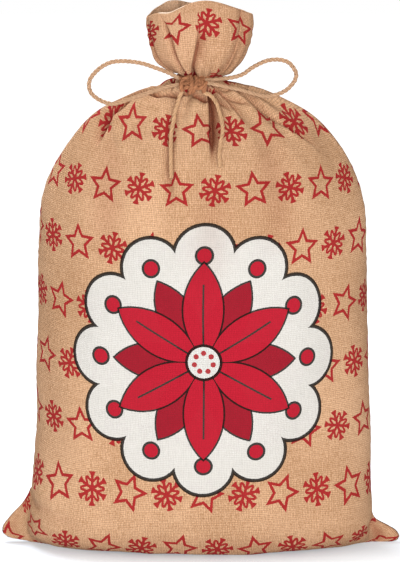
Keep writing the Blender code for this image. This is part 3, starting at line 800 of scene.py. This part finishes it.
def cloth_panel(name, node, side, folds, outside, inside):
    """One panel of burlap: its outer face, an inner face a cloth's thickness further in, and closed edges.

    The back is the same form, turned over to the other side of the side seams' plane.
    Near the seams the inner face stops short of the other panel. At the seams the two panels meet.
    """
    sheet, flat, painted_light_and_shade = folded_sheet(*folds)
    inner_sheet = sheet - outward_normals(sheet) * CLOTH_THICK
    inner_sheet[:, :, 1] = np.maximum(np.minimum(inner_sheet[:, :, 1], -INNER_GAP), sheet[:, :, 1])
    inner_sheet[:, :, 2] = np.maximum(inner_sheet[:, :, 2], INNER_GAP)
    rows, columns = sheet.shape[:2]
    outer_faces, outer = grid_faces(rows, columns)
    inner_faces, inner = grid_faces(rows, columns, rows * columns)
    edges = [
        edge_strip(outer[0], inner[0]),
        edge_strip(outer[-1][::-1], inner[-1][::-1]),
        edge_strip(outer[::-1, 0], inner[::-1, 0]),
        edge_strip(outer[:, -1], inner[:, -1]),
    ]
    faces = np.concatenate([outer_faces, inner_faces[:, ::-1]] + edges)
    points = np.concatenate([sheet.reshape(-1, 3), inner_sheet.reshape(-1, 3)])
    points[:, 1] *= -side
    if side > 0:
        faces = faces[:, ::-1]
    # The inner face is paler all over, as painted light.
    painted_light_and_shade = np.concatenate([painted_light_and_shade.ravel(), np.full(painted_light_and_shade.size, -INSIDE_PAINTED_LIGHT)])
    made = mesh_object(name, points, faces, np.tile(flat.reshape(-1, 2), (2, 1)), painted_light_and_shade)
    made.data.materials.append(outside)
    made.data.materials.append(inside)
    which = np.zeros(len(faces), np.int32)
    which[len(outer_faces) :] = 1
    made.data.polygons.foreach_set("material_index", which)
    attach(made, "root")
    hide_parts(node)


def centre_line(route, step=TWINE_STEP):
    """Points of a smooth curve through the route, a fixed step apart."""
    length = length_along(route)
    count = max(4, int(length[-1] / step))
    return smooth_curve(length, route, np.linspace(0, length[-1], count + 1))


def side_directions(line):
    """Two directions square to the line at each point, carried along it with no twist."""
    ahead = np.gradient(line, axis=0)
    ahead /= np.linalg.norm(ahead, axis=1, keepdims=True)
    side = np.cross(ahead[0], ASIDE)
    sides = []
    for direction in ahead:
        side = side - direction * np.dot(side, direction)
        side = side / np.linalg.norm(side)
        sides.append(side)
    sides = np.array(sides)
    return sides, np.cross(ahead, sides)


def twisted_strands(line, start_turn):
    """Three strands wound round a line: each is a tube whose middle turns round the line as it goes.

    Returns points, faces and UV, where u is the turn round a strand and v the length along it.
    """
    side, other = side_directions(line)
    length = length_along(line)
    round_strand = np.linspace(0, 2 * pi, STRAND_SIDES, endpoint=False)
    all_points, all_faces, all_flat = [], [], []
    count = 0
    for number in range(STRANDS):
        turn = 2 * pi * (length / TWIST_LENGTH + number / STRANDS) + start_turn
        uneven = 1 + STRAND_SWELL * np.sin(2 * pi * length / SWELL_LENGTH + SWELL_SHIFT * number)
        own = STRAND_RADIUS * uneven[:, None]
        across = STRAND_OFFSET * np.cos(turn)[:, None] + own * np.cos(round_strand + turn[:, None])
        beside = STRAND_OFFSET * np.sin(turn)[:, None] + own * np.sin(round_strand + turn[:, None])
        points = line[:, None] + side[:, None] * across[..., None] + other[:, None] * beside[..., None]
        index = count + np.arange(points.shape[0] * STRAND_SIDES).reshape(-1, STRAND_SIDES)
        following = np.roll(index, -1, axis=1)
        tube = np.stack([index[:-1], following[:-1], following[1:], index[1:]], axis=-1).reshape(-1, 4)
        all_faces += tube.tolist() + [index[0][::-1].tolist(), index[-1].tolist()]
        all_points.append(points.reshape(-1, 3))
        flat = np.broadcast_arrays(round_strand / (2 * pi), length[:, None])
        all_flat.append(np.stack(flat, axis=-1).reshape(-1, 2))
        count += points.shape[0] * STRAND_SIDES
    return np.concatenate(all_points), all_faces, np.concatenate(all_flat)


def twine_piece(name, lines, finish):
    """One object of twisted twine that follows each of the lines."""
    points, faces, flat, count = [], [], [], 0
    for number, line in enumerate(lines):
        new_points, new_faces, new_flat = twisted_strands(line, LINE_TURN * number)
        points.append(new_points)
        flat.append(new_flat)
        faces += [[corner + count for corner in face] for face in new_faces]
        count += len(new_points)
    made = mesh_object(name, np.concatenate(points), faces, np.concatenate(flat))
    made.data.materials.append(finish)
    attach(made, "root")
    return made


def free_cord(name, node, route, finish):
    """A loop or an end of the bow: twine that follows a smooth curve through the route."""
    line = centre_line(route)
    made = twine_piece(name, [line], finish)
    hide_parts(node)


def neck_turn():
    """The twine's turn round the neck, as a slow spiral.

    It is the neck's ellipse, moved out by the share of the twine's radius that stands out of the gathers.
    """
    neck = Row(NECK, *row_columns(np.array([NECK]))[:, 0])
    turn = np.linspace(-WRAP_OVERLAP, 2 * pi + WRAP_OVERLAP, WRAP_POINTS) - pi / 2
    share = (1 + np.cos(turn)) / 2
    clear = TWINE_RADIUS * WRAP_STANDS_OUT
    x = (neck.left_x - clear) * (1 - share) + (neck.right_x + clear) * share
    y = (neck.front + clear) * np.sin(turn)
    side_z = neck.left_z * (1 - share) + neck.right_z * share
    rise = WRAP_SPREAD * np.linspace(-1, 1, len(turn)) - WRAP_LOWER
    z = side_z + (neck.middle_z - side_z) * np.abs(np.sin(turn)) + rise
    return np.stack([x, y, z], axis=1)


def knot_and_wrap(finish):
    """The turn of twine round the neck and the strands of the knot, as one piece."""
    lines = [neck_turn()] + [centre_line(route) for route in KNOT_ROUTES]
    made = twine_piece("knot_and_wrap", lines, finish)
    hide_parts("twine_tie")


def add(tree, kind, inputs, **settings):
    """Adds a node, with settings by name and values or outputs for its sockets, and gives its output."""
    made = tree.nodes.new(kind)
    for name, value in settings.items():
        setattr(made, name, value)
    for socket, value in inputs.items():
        if isinstance(value, bpy.types.NodeSocket):
            tree.links.new(value, made.inputs[socket])
        else:
            made.inputs[socket].default_value = value
    return next((output for output in made.outputs if output.enabled), None)


def new_material(name):
    """A new material, with its node tree and its main shader."""
    made = bpy.data.materials.new(name)
    made.use_nodes = True
    tree = made.node_tree
    return made, tree, tree.nodes["Principled BSDF"]


# Noise on the flat cloth: how many times it changes in a metre across the cloth and along it.
Noise = namedtuple("Noise", "name across along detail")
CLOTH_NOISES = [
    Noise("wander", 85, 85, 2),
    Noise("slub_u", 800, 75, 2),
    Noise("slub_v", 30, 430, 2),
    Noise("fleck", 1300, 380, 0),
    Noise("patch", 9, 7, 3),
    Noise("ragged", 520, 520, 2),
]

# Arithmetic for the cloth's shaders. A step is its name, a Math node's operation, and what goes in: values,
# or the names of steps before it.


def thread_steps(way, bend, pitch):
    """The threads side by side this way: a thread's number, and its round top, half a sine wave across it."""
    return [
        (way + "_bent", "MULTIPLY_ADD", "wander", bend, way),
        (way + "_count", "DIVIDE", way + "_bent", pitch),
        (way + "_thread", "FLOOR", way + "_count"),
        (way + "_part", "FRACT", way + "_count"),
        (way + "_turn", "MULTIPLY", way + "_part", pi),
        (way + "_round", "SINE", way + "_turn"),
    ]


def cell_steps(name, count, place, pitch):
    """The cell that a count falls in, and the place in it from its middle, in metres."""
    return [
        (name, "FLOOR", count),
        (name + "_part", "FRACT", count),
        (name + "_middle", "SUBTRACT", name + "_part", 0.5),
        (place, "MULTIPLY", name + "_middle", pitch),
    ]


def distance_steps(name, x, y):
    """The distance from a middle: the square root of x times x plus y times y."""
    return [
        (name + "_xx", "MULTIPLY", x, x),
        (name + "_rr", "MULTIPLY_ADD", y, y, name + "_xx"),
        (name, "SQRT", name + "_rr"),
    ]


def arm_steps(name, distance, turn, half_part):
    """The turn round a middle folded into half an arm, and the place there: x along the arm, y beside it."""
    return [
        (name + "_fold", "PINGPONG", turn, half_part),
        (name + "_cos", "COSINE", name + "_fold"),
        (name + "_sin", "SINE", name + "_fold"),
        (name + "_x", "MULTIPLY", distance, name + "_cos"),
        (name + "_y", "MULTIPLY", distance, name + "_sin"),
    ]


def petal_steps(name, turn, middle, half_length, half_width):
    """One ring of six petals: each is where two circles overlap, with a vein up its middle."""
    radius = (half_length**2 + half_width**2) / (2 * half_width)
    return [
        *arm_steps(name, "reach", turn, pi / 6),
        (name + "_out", "SUBTRACT", name + "_x", middle),
        (name + "_down", "ADD", name + "_y", radius - half_width),
        *distance_steps(name + "_r", name + "_out", name + "_down"),
        (name + "_off", "SUBTRACT", name + "_r", radius),
        (name, "LESS_THAN", name + "_off", 0.0),
        (name + "_outside", "LESS_THAN", name + "_off", "half_line"),
        (name + "_vein_off", "LESS_THAN", name + "_y", VEIN_HALF),
        (name + "_vein_end", "LESS_THAN", name + "_x", middle + half_length * VEIN_SHARE),
        (name + "_vein", "MULTIPLY", name + "_vein_off", name + "_vein_end"),
    ]


# Plain weave: in each cell of the weave either the thread along the cloth or the one across it lies on top.
# "height" is 1 on the crown of a thread and near 0 in the gaps between four threads.
WEAVE = [
    *thread_steps("u", 0.0022, WARP_PITCH),
    *thread_steps("v", -0.0018, WEFT_PITCH),
    ("threads", "ADD", "u_thread", "v_thread"),
    ("parity", "FLOORED_MODULO", "threads", 2.0),
    ("not_parity", "SUBTRACT", 1.0, "parity"),
    ("u_on_top", "MULTIPLY", "u_round", "parity"),
    ("top", "MULTIPLY_ADD", "v_round", "not_parity", "u_on_top"),
    ("both", "MULTIPLY", "u_round", "v_round"),
    ("under", "MULTIPLY", "both", 0.45),
    ("height", "MULTIPLY_ADD", "top", 0.55, "under"),
]

# "tone" runs from the dark threads to the light ones. The gaps are darker as painted shade, and ink covers
# the crowns best.
TONES = [
    ("slubs", "MULTIPLY_ADD", "slub_v", 0.35, "slub_u"),
    ("slub_tone", "SUBTRACT", "slubs", 0.675),
    ("fleck_tone", "SUBTRACT", "fleck", 0.5),
    ("patch_tone", "SUBTRACT", "patch", 0.5),
    ("tone_fine", "MULTIPLY_ADD", "fleck_tone", 1.6, 0.5),
    ("tone_threads", "MULTIPLY_ADD", "slub_tone", 1.5, "tone_fine"),
    ("tone", "MULTIPLY_ADD", "patch_tone", 1.2, "tone_threads"),
    ("lit_from", "MULTIPLY_ADD", "height", 0.62, 0.52),
    ("lit", "MINIMUM", "lit_from", 1.0),
    ("ink_from", "MULTIPLY_ADD", "height", 0.22, 0.81),
    ("ink_streak", "MULTIPLY_ADD", "slub_tone", 0.20, "ink_from"),
    ("ink_lit", "MINIMUM", "ink_streak", 1.0),
    ("cover_from", "MULTIPLY_ADD", "height", 0.30, 0.85),
    ("cover", "MINIMUM", "cover_from", 0.97),
    # Painted shade from the attribute, and painted light where it is below 0.
    ("shade_from", "MULTIPLY", "painted_light_and_shade", HOLLOW_SHADE),
    ("shade", "MAXIMUM", "shade_from", 0.0),
    ("painted_light_from", "MULTIPLY", "painted_light_and_shade", -1.0),
    ("painted_light", "MAXIMUM", "painted_light_from", 0.0),
]

# Where a point lies in its cell of a printed row, and which cell it is.
ROW_CELLS = [
    ("half_stroke", "MULTIPLY_ADD", "ragged", 0.0014, 0.0011),
    ("half_branch", "MULTIPLY", "half_stroke", 0.8),
    ("half_line", "MULTIPLY_ADD", "ragged", 0.0008, 0.0018),
    ("row_count_from", "SUBTRACT", "v", ROW_START),
    ("row_count", "DIVIDE", "row_count_from", ROW_PITCH),
    *cell_steps("row", "row_count", "y", ROW_PITCH),
    ("stagger", "MULTIPLY", "row", 0.37),
    ("cell_count_from", "DIVIDE", "u", MOTIF_PITCH),
    ("cell_count", "ADD", "cell_count_from", "stagger"),
    *cell_steps("cell", "cell_count", "x", MOTIF_PITCH),
    ("kinds", "ADD", "cell", "row"),
    ("kind", "FLOORED_MODULO", "kinds", 2.0),
    ("row_mixed", "MULTIPLY", "row", 78.233),
    ("both_mixed", "MULTIPLY_ADD", "cell", 12.9898, "row_mixed"),
    ("both_sine", "SINE", "both_mixed"),
    ("both_spread", "MULTIPLY", "both_sine", 437.585),
    ("chance", "FRACT", "both_spread"),
]

# A five-point star drawn as an outline, and a six-armed snowflake, both from the distance and the turn round
# the cell's middle, folded into one arm. Distances are in metres.
MOTIFS = [
    ("tilt", "MULTIPLY_ADD", "chance", 0.7, -0.35),
    *distance_steps("r", "x", "y"),
    ("turn", "ARCTAN2", "x", "y"),
    ("tilted", "ADD", "turn", "tilt"),
    *arm_steps("star", "r", "tilted", pi / 5),
    ("star_side", "MULTIPLY", "star_y", STAR_SIDE[1]),
    ("star_reach", "MULTIPLY_ADD", "star_x", STAR_SIDE[0], "star_side"),
    ("star_off", "SUBTRACT", "star_reach", STAR_REACH),
    ("star_distance", "ABSOLUTE", "star_off"),
    ("star", "LESS_THAN", "star_distance", "half_stroke"),
    *arm_steps("flake", "r", "tilted", pi / 6),
    ("flake_wedge", "SUBTRACT", "flake_x", FLAKE_WEDGE_FROM),
    ("flake_wedge_up", "MAXIMUM", "flake_wedge", 0.0),
    ("flake_half", "MULTIPLY_ADD", "flake_wedge_up", 0.55, "half_stroke"),
    ("on_arm", "LESS_THAN", "flake_y", "flake_half"),
    ("branch_from", "SUBTRACT", "flake_x", BRANCH_FROM),
    ("branch_side", "MULTIPLY", "branch_from", BRANCH_SIDE[0]),
    ("branch_y", "MULTIPLY", "flake_y", BRANCH_SIDE[1]),
    ("branch_off", "SUBTRACT", "branch_side", "branch_y"),
    ("branch_distance", "ABSOLUTE", "branch_off"),
    ("on_branch", "LESS_THAN", "branch_distance", "half_branch"),
    ("branch_end", "LESS_THAN", "flake_x", FLAKE_WEDGE_FROM),
    ("branch", "MULTIPLY", "on_branch", "branch_end"),
    ("arms", "MAXIMUM", "on_arm", "branch"),
    ("flake_tip", "LESS_THAN", "r", FLAKE_RADIUS),
    ("flake", "MULTIPLY", "arms", "flake_tip"),
    ("not_kind", "SUBTRACT", 1.0, "kind"),
    ("stars", "MULTIPLY", "star", "kind"),
    ("flakes", "MULTIPLY", "flake", "not_kind"),
    ("motifs", "MAXIMUM", "stars", "flakes"),
]

# A rosette on a scalloped field: twelve lobes with a berry in each, two rings of six pointed petals, and a
# centre with seven dots.
ROSETTE = [
    ("rx", "SUBTRACT", "u", ROSETTE_ACROSS),
    ("ry", "SUBTRACT", "v", ROSETTE_ALONG),
    *distance_steps("reach", "rx", "ry"),
    ("round", "ARCTAN2", "rx", "ry"),
    *arm_steps("lobe", "reach", "round", pi / 12),
    ("lobe_out", "SUBTRACT", "lobe_x", LOBE_RING),
    *distance_steps("lobe_r", "lobe_out", "lobe_y"),
    ("lobe_off", "SUBTRACT", "lobe_r", LOBE_RADIUS),
    ("disc_off", "SUBTRACT", "reach", LOBE_RING),
    ("field_off", "MINIMUM", "lobe_off", "disc_off"),
    ("field", "LESS_THAN", "field_off", 0.0),
    ("field_distance", "ABSOLUTE", "field_off"),
    ("field_line", "LESS_THAN", "field_distance", "half_line"),
    ("berry", "LESS_THAN", "lobe_r", BERRY_RADIUS),
    ("berry_edge", "LESS_THAN", "lobe_r", BERRY_EDGE),
    ("eye", "LESS_THAN", "reach", EYE_RADIUS),
    ("eye_edge", "LESS_THAN", "reach", EYE_EDGE),
    *arm_steps("dot", "reach", "round", pi / 7),
    ("dot_out", "SUBTRACT", "dot_x", DOT_RING),
    *distance_steps("dot_r", "dot_out", "dot_y"),
    ("dot", "LESS_THAN", "dot_r", DOT_RADIUS),
    ("behind_round", "ADD", "round", pi / 6),
    *petal_steps("back_petal", "behind_round", 0.060, 0.050, 0.021),
    *petal_steps("petal", "round", 0.063, 0.056, 0.0235),
    ("not_vein", "SUBTRACT", 1.0, "petal_vein"),
    ("petal_ink", "MULTIPLY", "petal", "not_vein"),
]

# The inks, one over the other, each where its mask is 1.
ROW_INKS = [("motifs", INK_RED)]
ROSETTE_INKS = [
    ("field", INK_WHITE),
    ("field_line", INK_DARK),
    ("berry_edge", INK_DARK),
    ("berry", INK_CRIMSON),
    ("back_petal_outside", INK_DARK),
    ("back_petal", INK_CRIMSON_DEEP),
    ("petal_outside", INK_DARK),
    ("petal_ink", INK_CRIMSON),
    ("eye_edge", INK_DARK),
    ("eye", INK_WHITE),
    ("dot", INK_RED),
]


def burlap(name, steps, inks):
    """Plain-weave jute burlap, screen printed: coarse uneven tan threads with small gaps between them.

    The real threads are about 2 mm apart. Each thread has slubs, so its tone changes along it, and the
    threads along the cloth show most. The ink lies on the crowns of the threads, so the weave shows a little
    through it. Deep in a fold, and at the seams, near the floor and on the ruffle, the colour is darker and
    redder as painted shade, for the little light that gets in has been from cloth to cloth. A stretch of the
    rim's lip and the inside are paler as painted light.
    """
    made, tree, shader = new_material(name)
    place = add(tree, "ShaderNodeUVMap", {}, uv_map="flat")
    u = add(tree, "ShaderNodeSeparateXYZ", {0: place})
    painted_light_and_shade = add(tree, "ShaderNodeAttribute", {}, attribute_name="painted_light_and_shade")
    known = {"u": u, "v": u.node.outputs[1], "painted_light_and_shade": painted_light_and_shade}
    for row in CLOTH_NOISES:
        stretched = add(tree, "ShaderNodeMapping", {"Vector": place, "Scale": (row.across, row.along, 1)})
        inputs = {"Vector": stretched, "Scale": 1, "Detail": row.detail}
        known[row.name] = add(tree, "ShaderNodeTexNoise", inputs, noise_dimensions="2D")
    for result, operation, *values in WEAVE + TONES + steps:
        inputs = {socket: known.get(value, value) for socket, value in enumerate(values)}
        known[result] = add(tree, "ShaderNodeMath", inputs, operation=operation)
    greys = [{channel: known[shade] for channel in range(3)} for shade in ("lit", "ink_lit")]
    lit, ink_lit = [add(tree, "ShaderNodeCombineColor", channels) for channels in greys]
    mix = {"data_type": "RGBA"}
    bare = add(tree, "ShaderNodeMix", {0: known["tone"], 6: linear(TAN_DARK), 7: linear(TAN_LIGHT)}, **mix)
    colour = add(tree, "ShaderNodeMix", {0: 1, 6: bare, 7: lit}, blend_type="MULTIPLY", **mix)
    for mask, ink in inks:
        cover = add(tree, "ShaderNodeMath", {0: known[mask], 1: known["cover"]}, operation="MULTIPLY")
        shaded = add(tree, "ShaderNodeMix", {0: 1, 6: linear(ink), 7: ink_lit}, blend_type="MULTIPLY", **mix)
        colour = add(tree, "ShaderNodeMix", {0: cover, 6: colour, 7: shaded}, **mix)
    # Painted shade, darker and redder, and then painted light, paler, both as the attribute says.
    inputs = {0: known["shade"], 6: colour, 7: linear(FOLD_SHADE)}
    colour = add(tree, "ShaderNodeMix", inputs, blend_type="MULTIPLY", **mix)
    colour = add(tree, "ShaderNodeMix", {0: known["painted_light"], 6: colour, 7: linear(PAINTED_LIGHT_TINT)}, **mix)
    tree.links.new(colour, shader.inputs["Base Color"])
    shader.inputs["Roughness"].default_value = CLOTH_ROUGH
    shader.inputs["Specular IOR Level"].default_value = JUTE_SPECULAR
    bump = add(tree, "ShaderNodeBump", {"Height": known["height"], "Distance": 0.0006, "Strength": 0.5})
    tree.links.new(bump, shader.inputs["Normal"])
    return made


def jute_twine(name, dark, light):
    """Three-ply jute twine: dull fibres that run along each strand, in streaks of dark and light tan."""
    made, tree, shader = new_material(name)
    place = add(tree, "ShaderNodeUVMap", {}, uv_map="flat")
    stretched = add(tree, "ShaderNodeMapping", {"Vector": place, "Scale": FIBRES})
    inputs = {"Vector": stretched, "Scale": 1, "Detail": 3}
    fibres = add(tree, "ShaderNodeTexNoise", inputs, noise_dimensions="2D")
    inputs = {0: fibres, 6: linear(dark), 7: linear(light)}
    colour = add(tree, "ShaderNodeMix", inputs, data_type="RGBA")
    tree.links.new(colour, shader.inputs["Base Color"])
    shader.inputs["Roughness"].default_value = TWINE_ROUGH
    shader.inputs["Specular IOR Level"].default_value = JUTE_SPECULAR
    bump = add(tree, "ShaderNodeBump", {"Height": fibres, "Distance": 0.0004, "Strength": 0.7})
    tree.links.new(bump, shader.inputs["Normal"])
    return made


def camera():
    """The camera: in front of the sack, tipped down by its pitch, and aimed over the middle of the base."""
    lens = SENSOR * CAMERA_DISTANCE / PIXEL / FRAME_PIXELS
    made = bpy.data.objects.new("camera", bpy.data.cameras.new("camera"))
    made.data.lens = lens
    made.data.sensor_width = SENSOR
    made.data.shift_x = SIDE_SHIFT / FRAME_PIXELS
    back = Vector((0, -np.cos(CAMERA_PITCH), np.sin(CAMERA_PITCH)))
    made.location = Vector((0, 0, AIM_HEIGHT)) + back * CAMERA_DISTANCE
    made.rotation_euler = (pi / 2 - CAMERA_PITCH, 0, 0)
    bpy.context.scene.collection.objects.link(made)
    bpy.context.scene.camera = made


def soft_light(name, place, aim, size, power):
    """A round soft light at a place, turned to what it is aimed at. The camera doesn't see it."""
    light = bpy.data.lights.new(name, "AREA")
    light.shape = "DISK"
    light.size = size
    light.energy = power
    made = bpy.data.objects.new(name, light)
    made.location = place
    made.rotation_euler = (Vector(aim) - Vector(place)).to_track_quat("-Z", "Y").to_euler()
    made.visible_camera = False
    bpy.context.scene.collection.objects.link(made)


def white_when_seen(tree):
    """White to the camera, and the sky's weaker, warmer light to all else."""
    seen = add(tree, "ShaderNodeLightPath", {})
    return add(tree, "ShaderNodeMix", {0: seen, 6: (*SKY_LIGHT, 1), 7: (1, 1, 1, 1)}, data_type="RGBA")


def studio():
    """A wide pale floor that glows further out, as in a light tent, with a white background and soft lights.

    The floor is a flat grid. Its glow is painted light, the larger of two smooth steps of the distance from
    the sack, and its dimmer ring round the base is a painted contact shadow.
    """
    side = np.linspace(-FLOOR_HALF, FLOOR_HALF, FLOOR_POINTS)
    grid = np.stack(np.broadcast_arrays(side[None, :], side[:, None], -FLOOR_DROP), axis=-1)
    faces, _ = grid_faces(*grid.shape[:2])
    floor = mesh_object("floor", grid.reshape(-1, 3), faces, grid[:, :, :2].reshape(-1, 2))
    white, tree, shader = new_material("floor_paint_and_painted_glow")
    shader.inputs["Base Color"].default_value = linear(FLOOR_PAINT)
    shader.inputs["Roughness"].default_value = FLOOR_ROUGH
    shader.inputs["Specular IOR Level"].default_value = 0.0
    place = add(tree, "ShaderNodeTexCoord", {}).node.outputs["Object"]
    glows = []
    near = (BASE_DEPTH_TO_WIDTH, NEAR_SHIFT, NEAR_FROM, NEAR_FULL, GLOW_NEAR)
    far = (1, (0, 0, 0), GLOW_FROM, GLOW_FULL, 1)
    for width, shift, low, high, full in (near, far):
        inputs = {0: place, 1: (width, 1, 1), 2: shift}
        flat = add(tree, "ShaderNodeVectorMath", inputs, operation="MULTIPLY_ADD")
        reach = add(tree, "ShaderNodeVectorMath", {0: flat}, operation="LENGTH").node.outputs["Value"]
        inputs = {0: reach, 1: low, 2: high, 3: 0, 4: full}
        glows.append(add(tree, "ShaderNodeMapRange", inputs, interpolation_type="SMOOTHSTEP"))
    glow = add(tree, "ShaderNodeMath", {0: glows[0], 1: glows[1]}, operation="MAXIMUM")
    tree.links.new(white_when_seen(tree), shader.inputs["Emission Color"])
    tree.links.new(glow, shader.inputs["Emission Strength"])
    floor.data.materials.append(white)
    world = bpy.data.worlds.new("studio")
    world.use_nodes = True
    backdrop = world.node_tree.nodes["Background"]
    world.node_tree.links.new(white_when_seen(world.node_tree), backdrop.inputs[0])
    bpy.context.scene.world = world
    bpy.context.scene.view_settings.view_transform = "Standard"
    for light in LIGHTS:
        soft_light(*light)


def main():
    """The camera, the twine, the two panels of cloth and the studio."""
    camera()
    twine = jute_twine("jute_twine", TWINE_DARK, TWINE_LIGHT)
    free_cord("bow_loop_left", "twine_loop_left", LOOP_LEFT, twine)
    free_cord("bow_loop_right", "twine_loop_right", LOOP_RIGHT, twine)
    ends = jute_twine("jute_twine_ends", TAIL_DARK, TAIL_LIGHT)
    free_cord("bow_tail_left", "twine_tail_left", TAIL_LEFT, ends)
    free_cord("bow_tail_right", "twine_tail_right", TAIL_RIGHT, ends)
    # The knot and the turn round the neck get a darker copy of the twine, as painted shade.
    knot_and_wrap(jute_twine("jute_twine_knot_painted_shade", KNOT_SHADED_DARK, KNOT_SHADED_LIGHT))
    plain = burlap("plain_burlap", [], [])
    front = burlap("printed_burlap_front", ROW_CELLS + MOTIFS + ROSETTE, ROW_INKS + ROSETTE_INKS)
    back = burlap("printed_burlap_back", ROW_CELLS + MOTIFS, ROW_INKS)
    # The last number gives the front's rim the painted highlight on its lip.
    front_folds = (FRONT_RIM, FRONT_VALLEYS, FRONT_TUCKS, FRONT_CREASES, 5, 1)
    back_folds = (BACK_RIM, BACK_VALLEYS, BACK_TUCKS, BACK_CREASES, 11)
    cloth_panel("cloth_front", "sack_front", -1, front_folds, front, plain)
    cloth_panel("cloth_back", "sack_back", 1, back_folds, back, plain)
    studio()


main()
